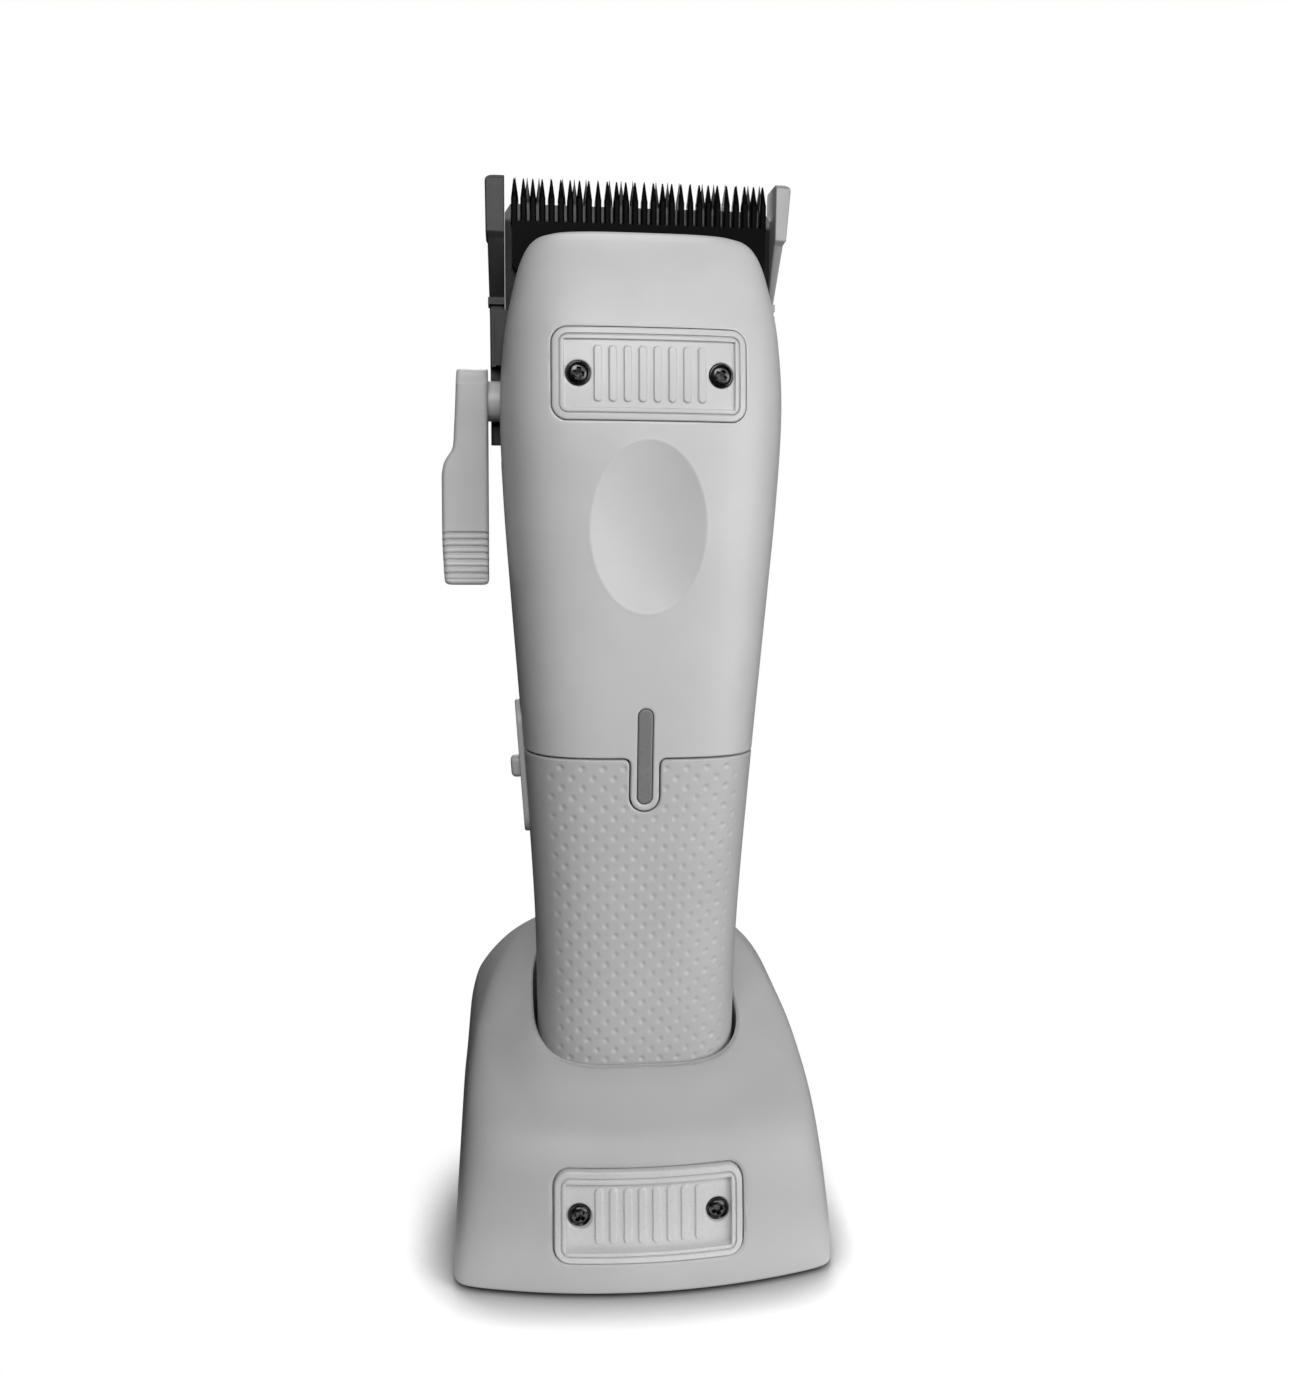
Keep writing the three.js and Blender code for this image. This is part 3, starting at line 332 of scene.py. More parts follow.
def face_block(name, x, z, front, back):
    """A block whose front is a height field over X and Z, with a flat back."""
    rows, columns = front.shape
    gx, gz = np.meshgrid(x, z)
    points = np.stack([gx, front, gz], -1).reshape(-1, 3)
    index = np.arange(rows * columns).reshape(rows, columns)
    quads = np.stack([index[:-1, :-1], index[:-1, 1:], index[1:, 1:], index[1:, :-1]], -1).reshape(-1, 4)
    border = np.concatenate([index[0, :], index[1:, -1], index[-1, -2::-1], index[-2:0:-1, 0]])
    rear = points[border].copy()
    rear[:, 1] = back
    n, start = len(border), len(points)
    sides = [
        (int(border[(k + 1) % n]), int(border[k]), start + k, start + (k + 1) % n) for k in range(n)
    ]
    faces = quads.tolist() + sides + [tuple(range(start + n - 1, start - 1, -1))]
    return new_object(name, np.concatenate([points, rear]), faces)


def combine(made, *tools, operation="DIFFERENCE"):
    for tool in tools:
        step = made.modifiers.new("step", "BOOLEAN")
        step.operation, step.solver, step.object = operation, "MANIFOLD", tool
    graph = bpy.context.evaluated_depsgraph_get()
    result = bpy.data.meshes.new_from_object(made.evaluated_get(graph))
    made.modifiers.clear()
    made.data = result
    for tool in tools:
        bpy.data.objects.remove(tool)
    return made


def cut(made, *tools):
    return combine(made, *tools)


def join(made, *others):
    return combine(made, *others, operation="UNION")


def keep(made, *others):
    return combine(made, *others, operation="INTERSECT")


def transform(made, matrix):
    made.data.transform(matrix)
    return made


def tilt(made):
    """From the clipper's frame to the dock's."""
    return transform(made, Matrix.Translation((0, SEAT_Y, SEAT_Z)) @ Matrix.Rotation(-LEAN, 4, "X"))


def settle(made, body, nodes, finish, sharp=32, in_clipper=True):
    """Puts a finished piece in the row frame with its shading, finish and body."""
    if in_clipper:
        tilt(made)
    transform(made, Matrix.Scale(0.001, 4))
    made.data.shade_smooth()
    made.data.set_sharp_from_angle(angle=math.radians(sharp))
    made.data.materials.clear()
    made.data.materials.append(finish)
    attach(made, body)
    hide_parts(*nodes)
    return made


# -------- finishes
NOISE_LOW, NOISE_HIGH, ROUGH_SPREAD = 0.3, 0.7, 0.05


def map_range(nodes, from_low, from_high, to_low=0.0, to_high=1.0):
    made = nodes.new("ShaderNodeMapRange")
    limits = {"From Min": from_low, "From Max": from_high, "To Min": to_low, "To Max": to_high}
    for socket, value in limits.items():
        made.inputs[socket].default_value = value
    return made


def finish_of(name, colour, roughness, metallic=0.0, grain=2200, relief=0.02, spread=0.03, blotch=90,
              stretch=(1, 1, 1), coat=0.0, specular=0.5):
    """A moulded or ground surface: soft colour drift, uneven gloss and a fine relief, all from noise."""
    made = bpy.data.materials.new(name)
    made.use_nodes = True
    nodes, links = made.node_tree.nodes, made.node_tree.links
    shader = nodes["Principled BSDF"]
    shader.inputs["Metallic"].default_value = metallic
    shader.inputs["Coat Weight"].default_value = coat
    shader.inputs["Specular IOR Level"].default_value = specular
    place = nodes.new("ShaderNodeTexCoord")
    mapping = nodes.new("ShaderNodeMapping")
    mapping.inputs["Scale"].default_value = stretch
    links.new(place.outputs["Object"], mapping.inputs["Vector"])

    def noise(scale, detail):
        made_noise = nodes.new("ShaderNodeTexNoise")
        made_noise.inputs["Scale"].default_value = scale
        made_noise.inputs["Detail"].default_value = detail
        links.new(mapping.outputs["Vector"], made_noise.inputs["Vector"])
        return made_noise.outputs["Fac"]

    drift, fine = noise(blotch, 3), noise(grain, 4)
    ramp = nodes.new("ShaderNodeValToRGB")
    low, high = ramp.color_ramp.elements
    low.position, high.position = NOISE_LOW, NOISE_HIGH
    low.color = (*[c * (1 - spread) for c in colour], 1)
    high.color = (*[min(1, c * (1 + spread)) for c in colour], 1)
    links.new(drift, ramp.inputs["Fac"])
    links.new(ramp.outputs["Color"], shader.inputs["Base Color"])
    gloss = map_range(nodes, NOISE_LOW, NOISE_HIGH, roughness - ROUGH_SPREAD, roughness + ROUGH_SPREAD)
    links.new(fine, gloss.inputs["Value"])
    links.new(gloss.outputs["Result"], shader.inputs["Roughness"])
    bump = nodes.new("ShaderNodeBump")
    bump.inputs["Strength"].default_value = relief
    bump.inputs["Distance"].default_value = 0.0003
    links.new(fine, bump.inputs["Height"])
    links.new(bump.outputs["Normal"], shader.inputs["Normal"])
    return made


def grey(value):
    return (value, value, value)


def paint_shade_along(made, axis, low, high, dark):
    """Paints shade onto a finish: darkens it towards low on an axis (row frame, metres), and keeps it as it
    is from high on.
    """
    nodes, links = made.node_tree.nodes, made.node_tree.links
    shader = nodes["Principled BSDF"]
    place, apart = nodes.new("ShaderNodeTexCoord"), nodes.new("ShaderNodeSeparateXYZ")
    share, mix = map_range(nodes, low, high, dark), nodes.new("ShaderNodeMix")
    mix.data_type, mix.blend_type = "RGBA", "MULTIPLY"
    mix.inputs["Factor"].default_value = 1.0
    colours = [socket for socket in mix.inputs if socket.type == "RGBA"]
    result = next(socket for socket in mix.outputs if socket.type == "RGBA")
    links.new(place.outputs["Object"], apart.inputs["Vector"])
    links.new(apart.outputs[axis], share.inputs["Value"])
    links.new(shader.inputs["Base Color"].links[0].from_socket, colours[0])
    links.new(share.outputs["Result"], colours[1])
    links.new(result, shader.inputs["Base Color"])
    return made


FINISH = {
    "casing": finish_of("casing_plastic", grey(0.56), 0.42, relief=0.05),
    "grip": finish_of("grip_plastic", grey(0.49), 0.5, relief=0.08),
    "dock": finish_of("dock_plastic", grey(0.44), 0.46, relief=0.06),
    "plate": finish_of("plate_plastic", grey(0.56), 0.34, relief=0.05),
    "dock_plate": finish_of("dock_plate_plastic", grey(0.55), 0.3, relief=0.08),
    "lamp": finish_of("lamp_lens", grey(0.2), 0.3, relief=0.02, coat=0.2),
    "black": finish_of("black_plastic", grey(0.008), 0.5, relief=0.1, spread=0.2),
    "rubber": finish_of("pad_rubber", grey(0.02), 0.8, relief=0.3, spread=0.2),
    "board": finish_of("board", (0.02, 0.1, 0.035), 0.45, relief=0.2, spread=0.25, blotch=300),
    "battery": finish_of("battery_wrap", (0.03, 0.16, 0.4), 0.35, relief=0.05, spread=0.1),
    "steel": finish_of("steel", grey(0.34), 0.5, 1.0, relief=0.06, spread=0.05, stretch=(1, 1, 0.06)),
    "black_steel": finish_of("black_steel", grey(0.002), 0.4, relief=0.03, spread=0.1, specular=0.04),
    "bracket": finish_of("bracket_steel", grey(0.36), 0.5, 0.4, relief=0.03, spread=0.05),
    "fixed_steel": finish_of("fixed_blade_steel", grey(0.34), 0.34, relief=0.03, specular=0.2),
    "screw": finish_of("black_screw", grey(0.08), 0.25, 1.0, relief=0.03, spread=0.1),
    "brass": finish_of("brass", (0.72, 0.5, 0.2), 0.3, 1.0, relief=0.1, spread=0.1),
}
paint_shade_along(FINISH["bracket"], "X", -0.012, 0.012, 0.12)  # painted shade: the left arm faces away from the light and is darkened for it
paint_shade_along(FINISH["fixed_steel"], "Z", 0.1796, 0.1803, 0.01)  # painted highlight: only the band seen through the slits between the moving teeth stays bright; below it the blade is darkened to near black, and the next line darkens the teeth above it
paint_shade_along(FINISH["fixed_steel"], "Z", 0.1832, 0.1825, 0.09)


# -------- clipper casings
def plate_distance(x, z):
    return rounded_distance(x, z, PLATE_HALF_X, PLATE_HALF_Z, PLATE_CORNER)


def plate_prism(z, grow):
    outline = rounded_outline(0, z, PLATE_HALF_X + grow, PLATE_HALF_Z + grow, PLATE_CORNER + grow)
    return prism("tool", outline, AHEAD, MIDDLE)


def lamp_distance(x, z):
    return rounded_distance(x, z - LAMP_Z, LAMP_HALF, LAMP_HALF_Z, LAMP_HALF)


def lamp_prism(grow):
    outline = rounded_outline(0, LAMP_Z, LAMP_HALF + grow, LAMP_HALF_Z + grow, LAMP_HALF + grow)
    return prism("tool", outline, -FAR, MIDDLE)


def cover_distance(x, z):
    """Distance outside the front cover's lower outline, with its tab and the fillets beside it."""
    line = PART_Z - z
    tab = rounded_distance(x, z - TAB_LOW - TAB_REACH, TAB_HALF, TAB_REACH, TAB_HALF)
    both = np.hypot(np.maximum(TAB_FILLET - line, 0), np.maximum(TAB_FILLET - tab, 0))
    return np.maximum(TAB_FILLET, np.minimum(line, tab)) - both


def cover_outline(grow, steps=14):
    """The lower outline from left to right, moved down and outward by grow."""
    low, turn = TAB_LOW + TAB_HALF, TAB_FILLET - grow
    side, level = TAB_HALF + TAB_FILLET, PART_Z - TAB_FILLET
    points = [(-FAR, PART_Z - grow)]
    for x, z, radius, *arc in (
        (-side, level, turn, math.pi / 2, 0, steps),
        (0, low, TAB_HALF + grow, math.pi, 2 * math.pi, 2 * steps),
        (side, level, turn, math.pi, math.pi / 2, steps),
    ):
        points += [(x + radius * math.cos(t), z + radius * math.sin(t)) for t in np.linspace(*arc)]
    return points + [(FAR, PART_Z - grow)]


def form_solid(z0, z1, grow, step=4.0):
    return ring_solid("tool", form_points(spaced((z0, z1, step)), round_angles(48, 48), grow))


def switch_tool():
    return place_switch(prism("tool", stadium(GAP), -3, 4, "x"))


def stadium(grow, steps=20):
    radius, half = SWITCH_WIDTH / 2 + grow, SWITCH_LENGTH / 2 + grow
    reach = half - radius
    upper = [(radius * math.cos(t), reach + radius * math.sin(t)) for t in np.linspace(0, math.pi, steps)]
    return upper + [(-y, -z) for y, z in upper]


def place_switch(made):
    reach = 12
    half = read_table(FORM, [SWITCH_Z - reach, SWITCH_Z, SWITCH_Z + reach])[0]
    tilt_angle = math.atan((half[2] - half[0]) / (2 * reach))
    turn = Matrix.Rotation(-tilt_angle, 4, "Y")
    return transform(made, Matrix.Translation((-half[1], 0, SWITCH_Z)) @ turn)


def switch_edge(points):
    """Rounding of a casing beside the switch's bezel."""
    half_y, half_z = SWITCH_WIDTH / 2 + GAP, SWITCH_LENGTH / 2 + GAP
    near = rounded_distance(points[..., 1], points[..., 2] - SWITCH_Z, half_y, half_z, half_y)
    return np.where(points[..., 0] < 0, fillet(near, EDGE), 0)


def front_cover():
    points = form_points(spaced(*FRONT_ROWS), round_angles(290, 40))
    x, y, z = np.moveaxis(points, -1, 0)
    ahead = y < -6
    across = np.hypot(x / OVAL_HALF_X, (z - OVAL_Z) / OVAL_HALF_Z)
    inside = 1 - across**2
    dish = OVAL_DEPTH * 0.5 * (inside + np.sqrt(inside**2 + 0.0006))
    dish -= OVAL_BEAD * np.exp(-(((across - 1.01) / 0.018) ** 2))
    depth = np.where(ahead, dish, 0)
    depth += np.where(ahead, fillet(plate_distance(x, z - PLATE_Z) - PLATE_GAP, 0.2), 0)
    depth += np.where(ahead, fillet(lamp_distance(x, z) - GAP / 2, 0.2), 0)
    depth += np.where(ahead | (z > PART_Z - 5), fillet(-cover_distance(x, z), EDGE), 0)
    depth += fillet(np.where(z < HEAD_Z - GAP, SPLIT_Y - y, HEAD_SPLIT_Y - y), EDGE)
    depth += switch_edge(points)
    made = ring_solid("front_cover_shell", sink(points, depth))
    below = prism("tool", cover_outline(0) + [(FAR, 0), (-FAR, 0)], AHEAD, -AHEAD)
    floor = form_solid(PLATE_Z - 12, PLATE_Z + 12, PLATE_PROUD - PLATE_THICK - GAP)
    pocket = cut(form_solid(PLATE_Z - 9, PLATE_Z + 9, 1.5), floor)
    blade_slot = box(-12, 12, -6.5, 20, TOP_Z - 3, TOP_Z + 1)
    cut(made, form_solid(60, TOP_Z - 1.6, -WALL), below, behind(SPLIT_Y), behind(HEAD_SPLIT_Y, HEAD_Z - GAP),
        blade_slot, keep(pocket, plate_prism(PLATE_Z, PLATE_GAP)), lamp_prism(GAP / 2), switch_tool(),
        *[rod("y", 1.7, (s * PLATE_SCREW_X, PLATE_Z), -30, -14) for s in (-1, 1)])
    return settle(made, "clipper", ["front_cover"], FINISH["casing"])


def screw_wells(rear):
    """Wells and holes for the housing screws, in the rear faces."""
    tools = []
    for x, z in HOUSING_SCREWS:
        if rear(z):
            face = float(form_face(x, np.array([z]), False)[0])
            tools.append(rod("y", SHANK_HOLE, (x, z), -2, 28))
            tools.append(rod("y", WELL_RADIUS, (x, z), face - WELL_DEPTH, 28))
    return tools


def well_edge(points):
    x, y, z = np.moveaxis(points, -1, 0)
    near = np.min([np.hypot(x - sx, z - sz) for sx, sz in HOUSING_SCREWS], axis=0) - WELL_RADIUS
    return np.where(y > 4, fillet(near, EDGE), 0)


def rear_cover():
    points = form_points(spaced(*REAR_ROWS), round_angles(60, 230))
    depth = fillet(points[..., 2] - PART_Z, EDGE) + fillet(HEAD_Z - GAP - points[..., 2], EDGE)
    depth += fillet(points[..., 1] - SPLIT_Y - SEAM, EDGE) + well_edge(points) + switch_edge(points)
    made = ring_solid("rear_cover_shell", sink(points, depth))
    cut(made, form_solid(PART_Z - 1, HEAD_Z + 1, -WALL), before(SPLIT_Y + SEAM), switch_tool(),
        *screw_wells(lambda z: z > PART_Z))
    return settle(made, "clipper", ["rear_cover"], FINISH["casing"])


def dimples(points):
    """A staggered lattice of shallow dimples that thins out towards the sides."""
    half = read_table(FORM, points[:, 0, 2])[0][:, None]
    across, down = points[..., 0] / half, (PART_Z - 1.8 - points[..., 2]) / DIMPLE_PITCH_Z
    depth = np.zeros(across.shape)
    for row in (np.floor(down), np.floor(down) + 1):
        shift = np.where(row % 2 == 1, 0.5, 0)
        column = np.round(across / DIMPLE_PITCH_X - shift) + shift
        away = np.hypot((across - column * DIMPLE_PITCH_X) * half, (down - row) * DIMPLE_PITCH_Z)
        bowl = 0.5 + 0.5 * np.cos(np.minimum(away / DIMPLE_RADIUS, 1) * math.pi)
        depth = np.maximum(depth, np.where(row >= 0, bowl, 0))
    return DIMPLE_DEPTH * depth * (1 - smooth_step(0.72, 0.93, np.abs(across)))


def grip(name, node, front):
    counts = (300, 30) if front else (30, 260)
    points = form_points(spaced(*GRIP_ROWS), round_angles(*counts))
    x, y, z = np.moveaxis(points, -1, 0)
    depth = dimples(points) + fillet(z - GRIP_LOW, 0.2)
    if front:
        edge = cover_distance(x, z) - GAP
        depth = depth * smooth_step(0.0, 0.6, edge) + fillet(edge, EDGE) + fillet(SPLIT_Y - y, EDGE)
    else:
        depth += fillet(PART_Z - GAP - z, EDGE) + fillet(y - SPLIT_Y - SEAM, EDGE) + well_edge(points)
    made = ring_solid(name, sink(points, depth + switch_edge(points)))
    inner = form_solid(GRIP_LOW - 1, PART_Z + 1.7, -WALL)
    if front:
        above = prism("tool", cover_outline(GAP) + [(FAR, 90), (-FAR, 90)], AHEAD, MIDDLE)
        cut(made, inner, behind(SPLIT_Y), above, switch_tool())
    else:
        cut(made, inner, before(SPLIT_Y + SEAM), switch_tool(), *screw_wells(lambda z: z < PART_Z))
    return settle(made, "clipper", [node], FINISH["grip"])


def end_cap():
    points = form_points(spaced(*CAP_ROWS), round_angles(120, 120))
    made = ring_solid("end_cap_shell", sink(points, fillet(GRIP_LOW - GAP - points[..., 2], 0.2)))
    cut(made, form_solid(2, GRIP_LOW + 1, -WALL, 1.0),
        *[rod("z", 2.3, (s * CONTACT_X, 0), -1, 4) for s in (-1, 1)])
    return settle(made, "clipper", ["end_cap"], FINISH["grip"])


# -------- plates and lamp
def plate_relief(x, z, deep):
    """How far a plate's face stands out: a double frame, a sunken panel, screw wells and a row of bars."""
    inset = -plate_distance(x, z)
    face = PLATE_PROUD - fillet(inset, 0.28)
    face -= PLATE_GROOVE * (smooth_step(*GROOVE_IN, inset) - smooth_step(*GROOVE_OUT, inset))
    panel = np.minimum(PLATE_HALF_X - np.abs(x), PLATE_HALF_Z - np.abs(z))
    face -= deep * smooth_step(*PANEL_EDGE, panel)
    from_bar = np.full(np.shape(x), 9.0)
    for k in range(BARS):
        across = x - (k - (BARS - 1) / 2) * BAR_PITCH
        from_bar = np.minimum(from_bar, rounded_distance(across, z, BAR_HALF_X, BAR_HALF_Z, 0.7))
    face += BAR_RISE * (1 - smooth_step(-0.22, 0.04, from_bar))
    for side in (-1, 1):
        face -= fillet(np.hypot(x - side * PLATE_SCREW_X, z) - PLATE_WELL, 0.22)
    return face


def plate_block(name, face_of, z0, deep):
    x, z = np.arange(-16.6, 16.61, 0.1), np.arange(z0 - 8, z0 + 8.01, 0.1)
    gx, gz = np.meshgrid(x, z)
    return face_block(name, x, z, face_of(gx, gz) - plate_relief(gx, gz - z0, deep), -6)


def nameplate():
    made = plate_block("nameplate_face", form_face, PLATE_Z, 0.5)
    cut(made, form_solid(PLATE_Z - 12, PLATE_Z + 12, PLATE_PROUD - PLATE_THICK, 1.5),
        *[rod("y", PLATE_WELL, (s * PLATE_SCREW_X, PLATE_Z), -30, -2) for s in (-1, 1)])
    keep(made, plate_prism(PLATE_Z, 0))
    return settle(made, "clipper", ["nameplate"], FINISH["plate"])


def battery_lamp():
    x, z = np.arange(-1.6, 1.61, 0.1), np.arange(LAMP_LOW - 0.5, LAMP_HIGH + 0.51, 0.1)
    gx, gz = np.meshgrid(x, z)
    front = form_face(gx, gz) + 0.12 + fillet(-lamp_distance(gx, gz), 0.25)
    made = keep(face_block("lamp_strip", x, z, front, -13), lamp_prism(0))
    return settle(made, "clipper", ["battery_lamp"], FINISH["lamp"])


# -------- screws
def lathe(name, profile, sides=48):
    """A solid of revolution about Y from (radius, y) points, first and last on the axis."""
    turns = np.arange(sides) * 2 * math.pi / sides
    rings = [[(r * math.cos(t), y, -r * math.sin(t)) for t in turns] for r, y in profile[1:-1]]
    points = [p for ring in rings for p in ring] + [(0, profile[0][1], 0), (0, profile[-1][1], 0)]
    faces = []
    for r in range(len(rings) - 1):
        for k in range(sides):
            n = (k + 1) % sides
            faces.append((r * sides + k, r * sides + n, (r + 1) * sides + n, (r + 1) * sides + k))
    low, top = len(points) - 2, (len(rings) - 1) * sides
    faces += [(low, (k + 1) % sides, k) for k in range(sides)]
    faces += [(low + 1, top + k, top + (k + 1) % sides) for k in range(sides)]
    return turn_outward(new_object(name, points, faces))


HEAD = [  # radius and y of a domed head in its rim, as shares of the head's radius
    (0.0, 0.06), (0.35, 0.04), (0.62, 0.08), (0.74, 0.16), (0.79, 0.2),
    (0.83, 0.14), (0.88, 0.08), (0.93, 0.1), (0.98, 0.18), (1.0, 0.26),
]


def cross_screw(name, radius, depth, shank, length):
    """A cross-head screw along Y whose slightly domed head faces -Y at the origin."""
    head = [(radius * r, radius * y) for r, y in HEAD] + [(radius, depth * 0.8), (radius * 0.86, depth)]
    made = lathe(name, head + [(shank, depth), (shank, length - 1), (0.01, length), (0, length)])
    slot, reach, floor = radius * 0.19, radius * 0.7, depth * 0.85
    tools = []
    for turn in (0, math.pi / 2):
        wide = [(-reach, -1), (reach, -1), (reach * 0.55, floor), (-reach * 0.55, floor)]
        tools.append(transform(prism("tool", wide, -slot, slot, "z"), Matrix.Rotation(turn, 4, "Y")))
    tools.append(lathe("tool", [(0, -1), (slot * 1.35, -1), (slot * 1.1, floor), (0, depth * 0.9)], 24))
    return cut(made, *tools)


# head radius, head depth, shank radius and length
PLATE_SCREW, HOUSING_SCREW, BLADE_SCREW = (2.0, 1.0, 0.9, 4.2), (2.6, 1.1, 1.3, 9), (3.0, 1.4, 1.3, 3.6)
LEVER_SCREW, BASE_SCREW = (2.1, 1.1, 0.85, 5), (2.7, 1.0, 1.15, 8)
FACE_BACK = (math.pi, "Z")


def place_screw(name, size, at, turns, body, node, look, in_clipper=True):
    place = Matrix.Translation(at)
    for angle, axis in turns:
        place = place @ Matrix.Rotation(angle, 4, axis)
    made = transform(cross_screw(name, *size), place)
    settle(made, body, [node], FINISH[look], in_clipper=in_clipper)


def screws():
    head_y = float(form_face(PLATE_SCREW_X, np.array([PLATE_Z]))[0])
    dock_y = float(dock_face(PLATE_SCREW_X, np.array([DOCK_PLATE_Z]))[0])
    for side, s in (("left", -1), ("right", 1)):
        place_screw(f"nameplate_{side}_screw", PLATE_SCREW, (s * PLATE_SCREW_X, head_y + 0.1, PLATE_Z),
                    [(0.35 + s * 0.2, "Y")], "clipper", f"nameplate_screw_{side}", "screw")
        place_screw(f"dock_plate_{side}_screw", PLATE_SCREW, (s * PLATE_SCREW_X, dock_y + 0.75, DOCK_PLATE_Z),
                    [(0.1 - s * 0.5, "Y")], "dock", f"dock_plate_screw_{side}", "screw", False)
    for k, (x, z) in enumerate(HOUSING_SCREWS):
        y = float(form_face(x, np.array([z]), False)[0])
        place_screw(f"housing_{k + 1}_screw", HOUSING_SCREW, (x, y - 0.1, z),
                    [FACE_BACK, (0.6 * k, "Y")], "clipper", f"housing_screw_{k + 1}", "screw")
    for side, s in (("left", -1), ("right", 1)):
        place_screw(f"blade_{side}_screw", BLADE_SCREW, (s * BLADE_SCREW_X, 6.1, BLADE_SCREW_Z),
                    [FACE_BACK], "blade_carrier", f"blade_screw_{side}", "steel")
    place_screw("lever_fixing_screw", LEVER_SCREW, (-32.3, PIVOT_Y, PIVOT_Z),
                [(-math.pi / 2, "Z")], "taper_lever", "lever_screw", "screw")
    for k, (x, y) in enumerate(DOCK_SCREWS):
        place_screw(f"dock_base_{k + 1}_screw", BASE_SCREW, (x, y, 1.4),
                    [(math.pi / 2, "X")], "dock", f"dock_base_screw_{k + 1}", "steel", False)


# -------- switch
def slab(name, outline_of, low, high, edge):
    """A plate along -X with its outer face at low and that edge rounded; outline_of(inset) is its outline."""
    steps = [(edge * (1 - math.cos(t)), edge * (1 - math.sin(t))) for t in np.linspace(0, math.pi / 2, 7)]
    rings = [[(high, y, z) for y, z in outline_of(0)]]
    rings += [[(low + drop, y, z) for y, z in outline_of(inset)] for inset, drop in steps]
    return turn_outward(ring_solid(name, np.array(rings)))


def power_switch():
    slot_half = KNOB_HALF + SWITCH_TRAVEL / 2 + GAP
    bezel = slab("switch_surround", lambda inset: stadium(-inset), -0.9, 1.2, 0.45)
    slot = rounded_outline(0, SWITCH_TRAVEL / 2, 1.7 + GAP, slot_half, 0.5)
    cut(bezel, prism("tool", slot, -5, 5, "x"))
    settle(place_switch(bezel), "clipper", ["switch_bezel"], FINISH["casing"])

    def knob_outline(inset):
        return rounded_outline(0, 0, 1.6 - inset, KNOB_HALF - inset, 1.0 - inset * 0.8)

    knob = slab("switch_button", knob_outline, -2.5, 2.0, 0.9)
    cut(knob, *[box(-3, -2.3, -3, 3, z - 0.12, z + 0.12) for z in (-0.6, 0, 0.6)])
    join(knob, prism("tool", rounded_outline(0, 0, 2.6, KNOB_HALF + 1, 0.5), 1.6, 2.6, "x"))
    settle(place_switch(knob), "power_switch", ["switch_knob"], FINISH["casing"])


# -------- blades
def tooth(x, sections):
    """A tooth through (height, half width, front, back) sections with clipped corners."""
    rings = []
    for z, half, front, back in sections:
        nip = min(half, (back - front) / 2) * 0.5
        ring = [(-half, front + nip), (-half + nip, front), (half - nip, front), (half, front + nip),
                (half, back - nip), (half - nip, back), (-half + nip, back), (-half, back - nip)]
        rings.append([(x + px, py, z) for px, py in ring])
    return ring_solid("tool", np.array(rings))


def tooth_row(made, count, pitch, sections):
    for k in range(count):
        made = join(made, tooth((k - (count - 1) / 2) * pitch, sections))
    return made


FIXED_BODY = [(20, 140), (23.5, 143.6), (23.5, 167.8), (22.5, FIXED_ROOT)]
NEEDLE = [  # a fixed tooth's height, half width, front y, back y
    (FIXED_ROOT - 0.6, 0.6, 1.95, 3.9), (FIXED_ROOT + 1.2, 0.5, 1.95, 3.6),
    (FIXED_ROOT + 2.6, 0.3, 2.05, 3.2), (FIXED_ROOT + 3.7, 0.13, 2.2, 2.8), (FIXED_TIP, 0.04, 2.4, 2.6),
]
BLUNT = [  # a moving tooth's
    (CUTTER_ROOT - 0.4, 0.56, -0.5, 1.55), (CUTTER_ROOT + 4.0, 0.55, -0.45, 1.55),
    (CUTTER_ROOT + 4.25, 0.5, -0.3, 1.5), (CUTTER_ROOT + 5.6, 0.34, 0.1, 1.35),
    (CUTTER_ROOT + 6.7, 0.2, 0.4, 1.2), (CUTTER_TIP, 0.1, 0.6, 1.0),
]


def blade_holes(radius, low, high):
    return [rod("y", radius, (s * BLADE_SCREW_X, BLADE_SCREW_Z), low, high) for s in (-1, 1)]


def blades():
    fixed = prism("fixed_blade_steel", mirrored(FIXED_BODY), 1.9, 4.4)
    tooth_row(fixed, FIXED_TEETH, FIXED_PITCH, NEEDLE)
    cut(fixed, *blade_holes(1.9, 0, 10))
    settle(fixed, "blade_carrier", ["fixed_blade"], FINISH["fixed_steel"], 25)
    half, (in_x, up_z) = (CUTTER_TEETH - 1) * CUTTER_PITCH / 2 + CUTTER_MARGIN, CUTTER_CHAMFER
    body = [(half - in_x, CUTTER_LOW), (half, CUTTER_LOW + up_z), (half, CUTTER_ROOT)]
    cutter = prism("moving_blade_steel", mirrored(body), -0.6, 1.6)
    tooth_row(cutter, CUTTER_TEETH, CUTTER_PITCH, BLUNT)
    settle(cutter, "cutter", ["moving_blade"], FINISH["black_steel"], 25)


ARM_INNER, ARM_LOW, ARM_TOP, ARM_ROUND = 23.55, 127.9, 173.0, 0.3
ARM_ROWS = [(ARM_LOW, 162, 0.5), (162, 164, 0.15), (164, 171.5, 0.4), (171.5, ARM_TOP, 0.08)]
ARM_FRONT = [(127.9, 2.6), (153.2, 2.6), (162.8, -2.2), (163.6, -3.0), (172.4, -3.0), (173.0, -2.5)]
ARM_BACK = [(127.9, 6.5), (162.1, 6.5), (163.6, 5.2), (172.4, 5.2), (173.0, 4.7)]
ARM_OUTER = {
    -1: [(127.9, 26.1), (150.0, 26.2), (163.0, 26.5), (163.5, 26.8), (173.0, 26.9)],
    1: [(127.9, 24.4), (150.0, 24.4), (163.0, 25.2), (163.6, 25.6), (173.0, 26.3)],
}


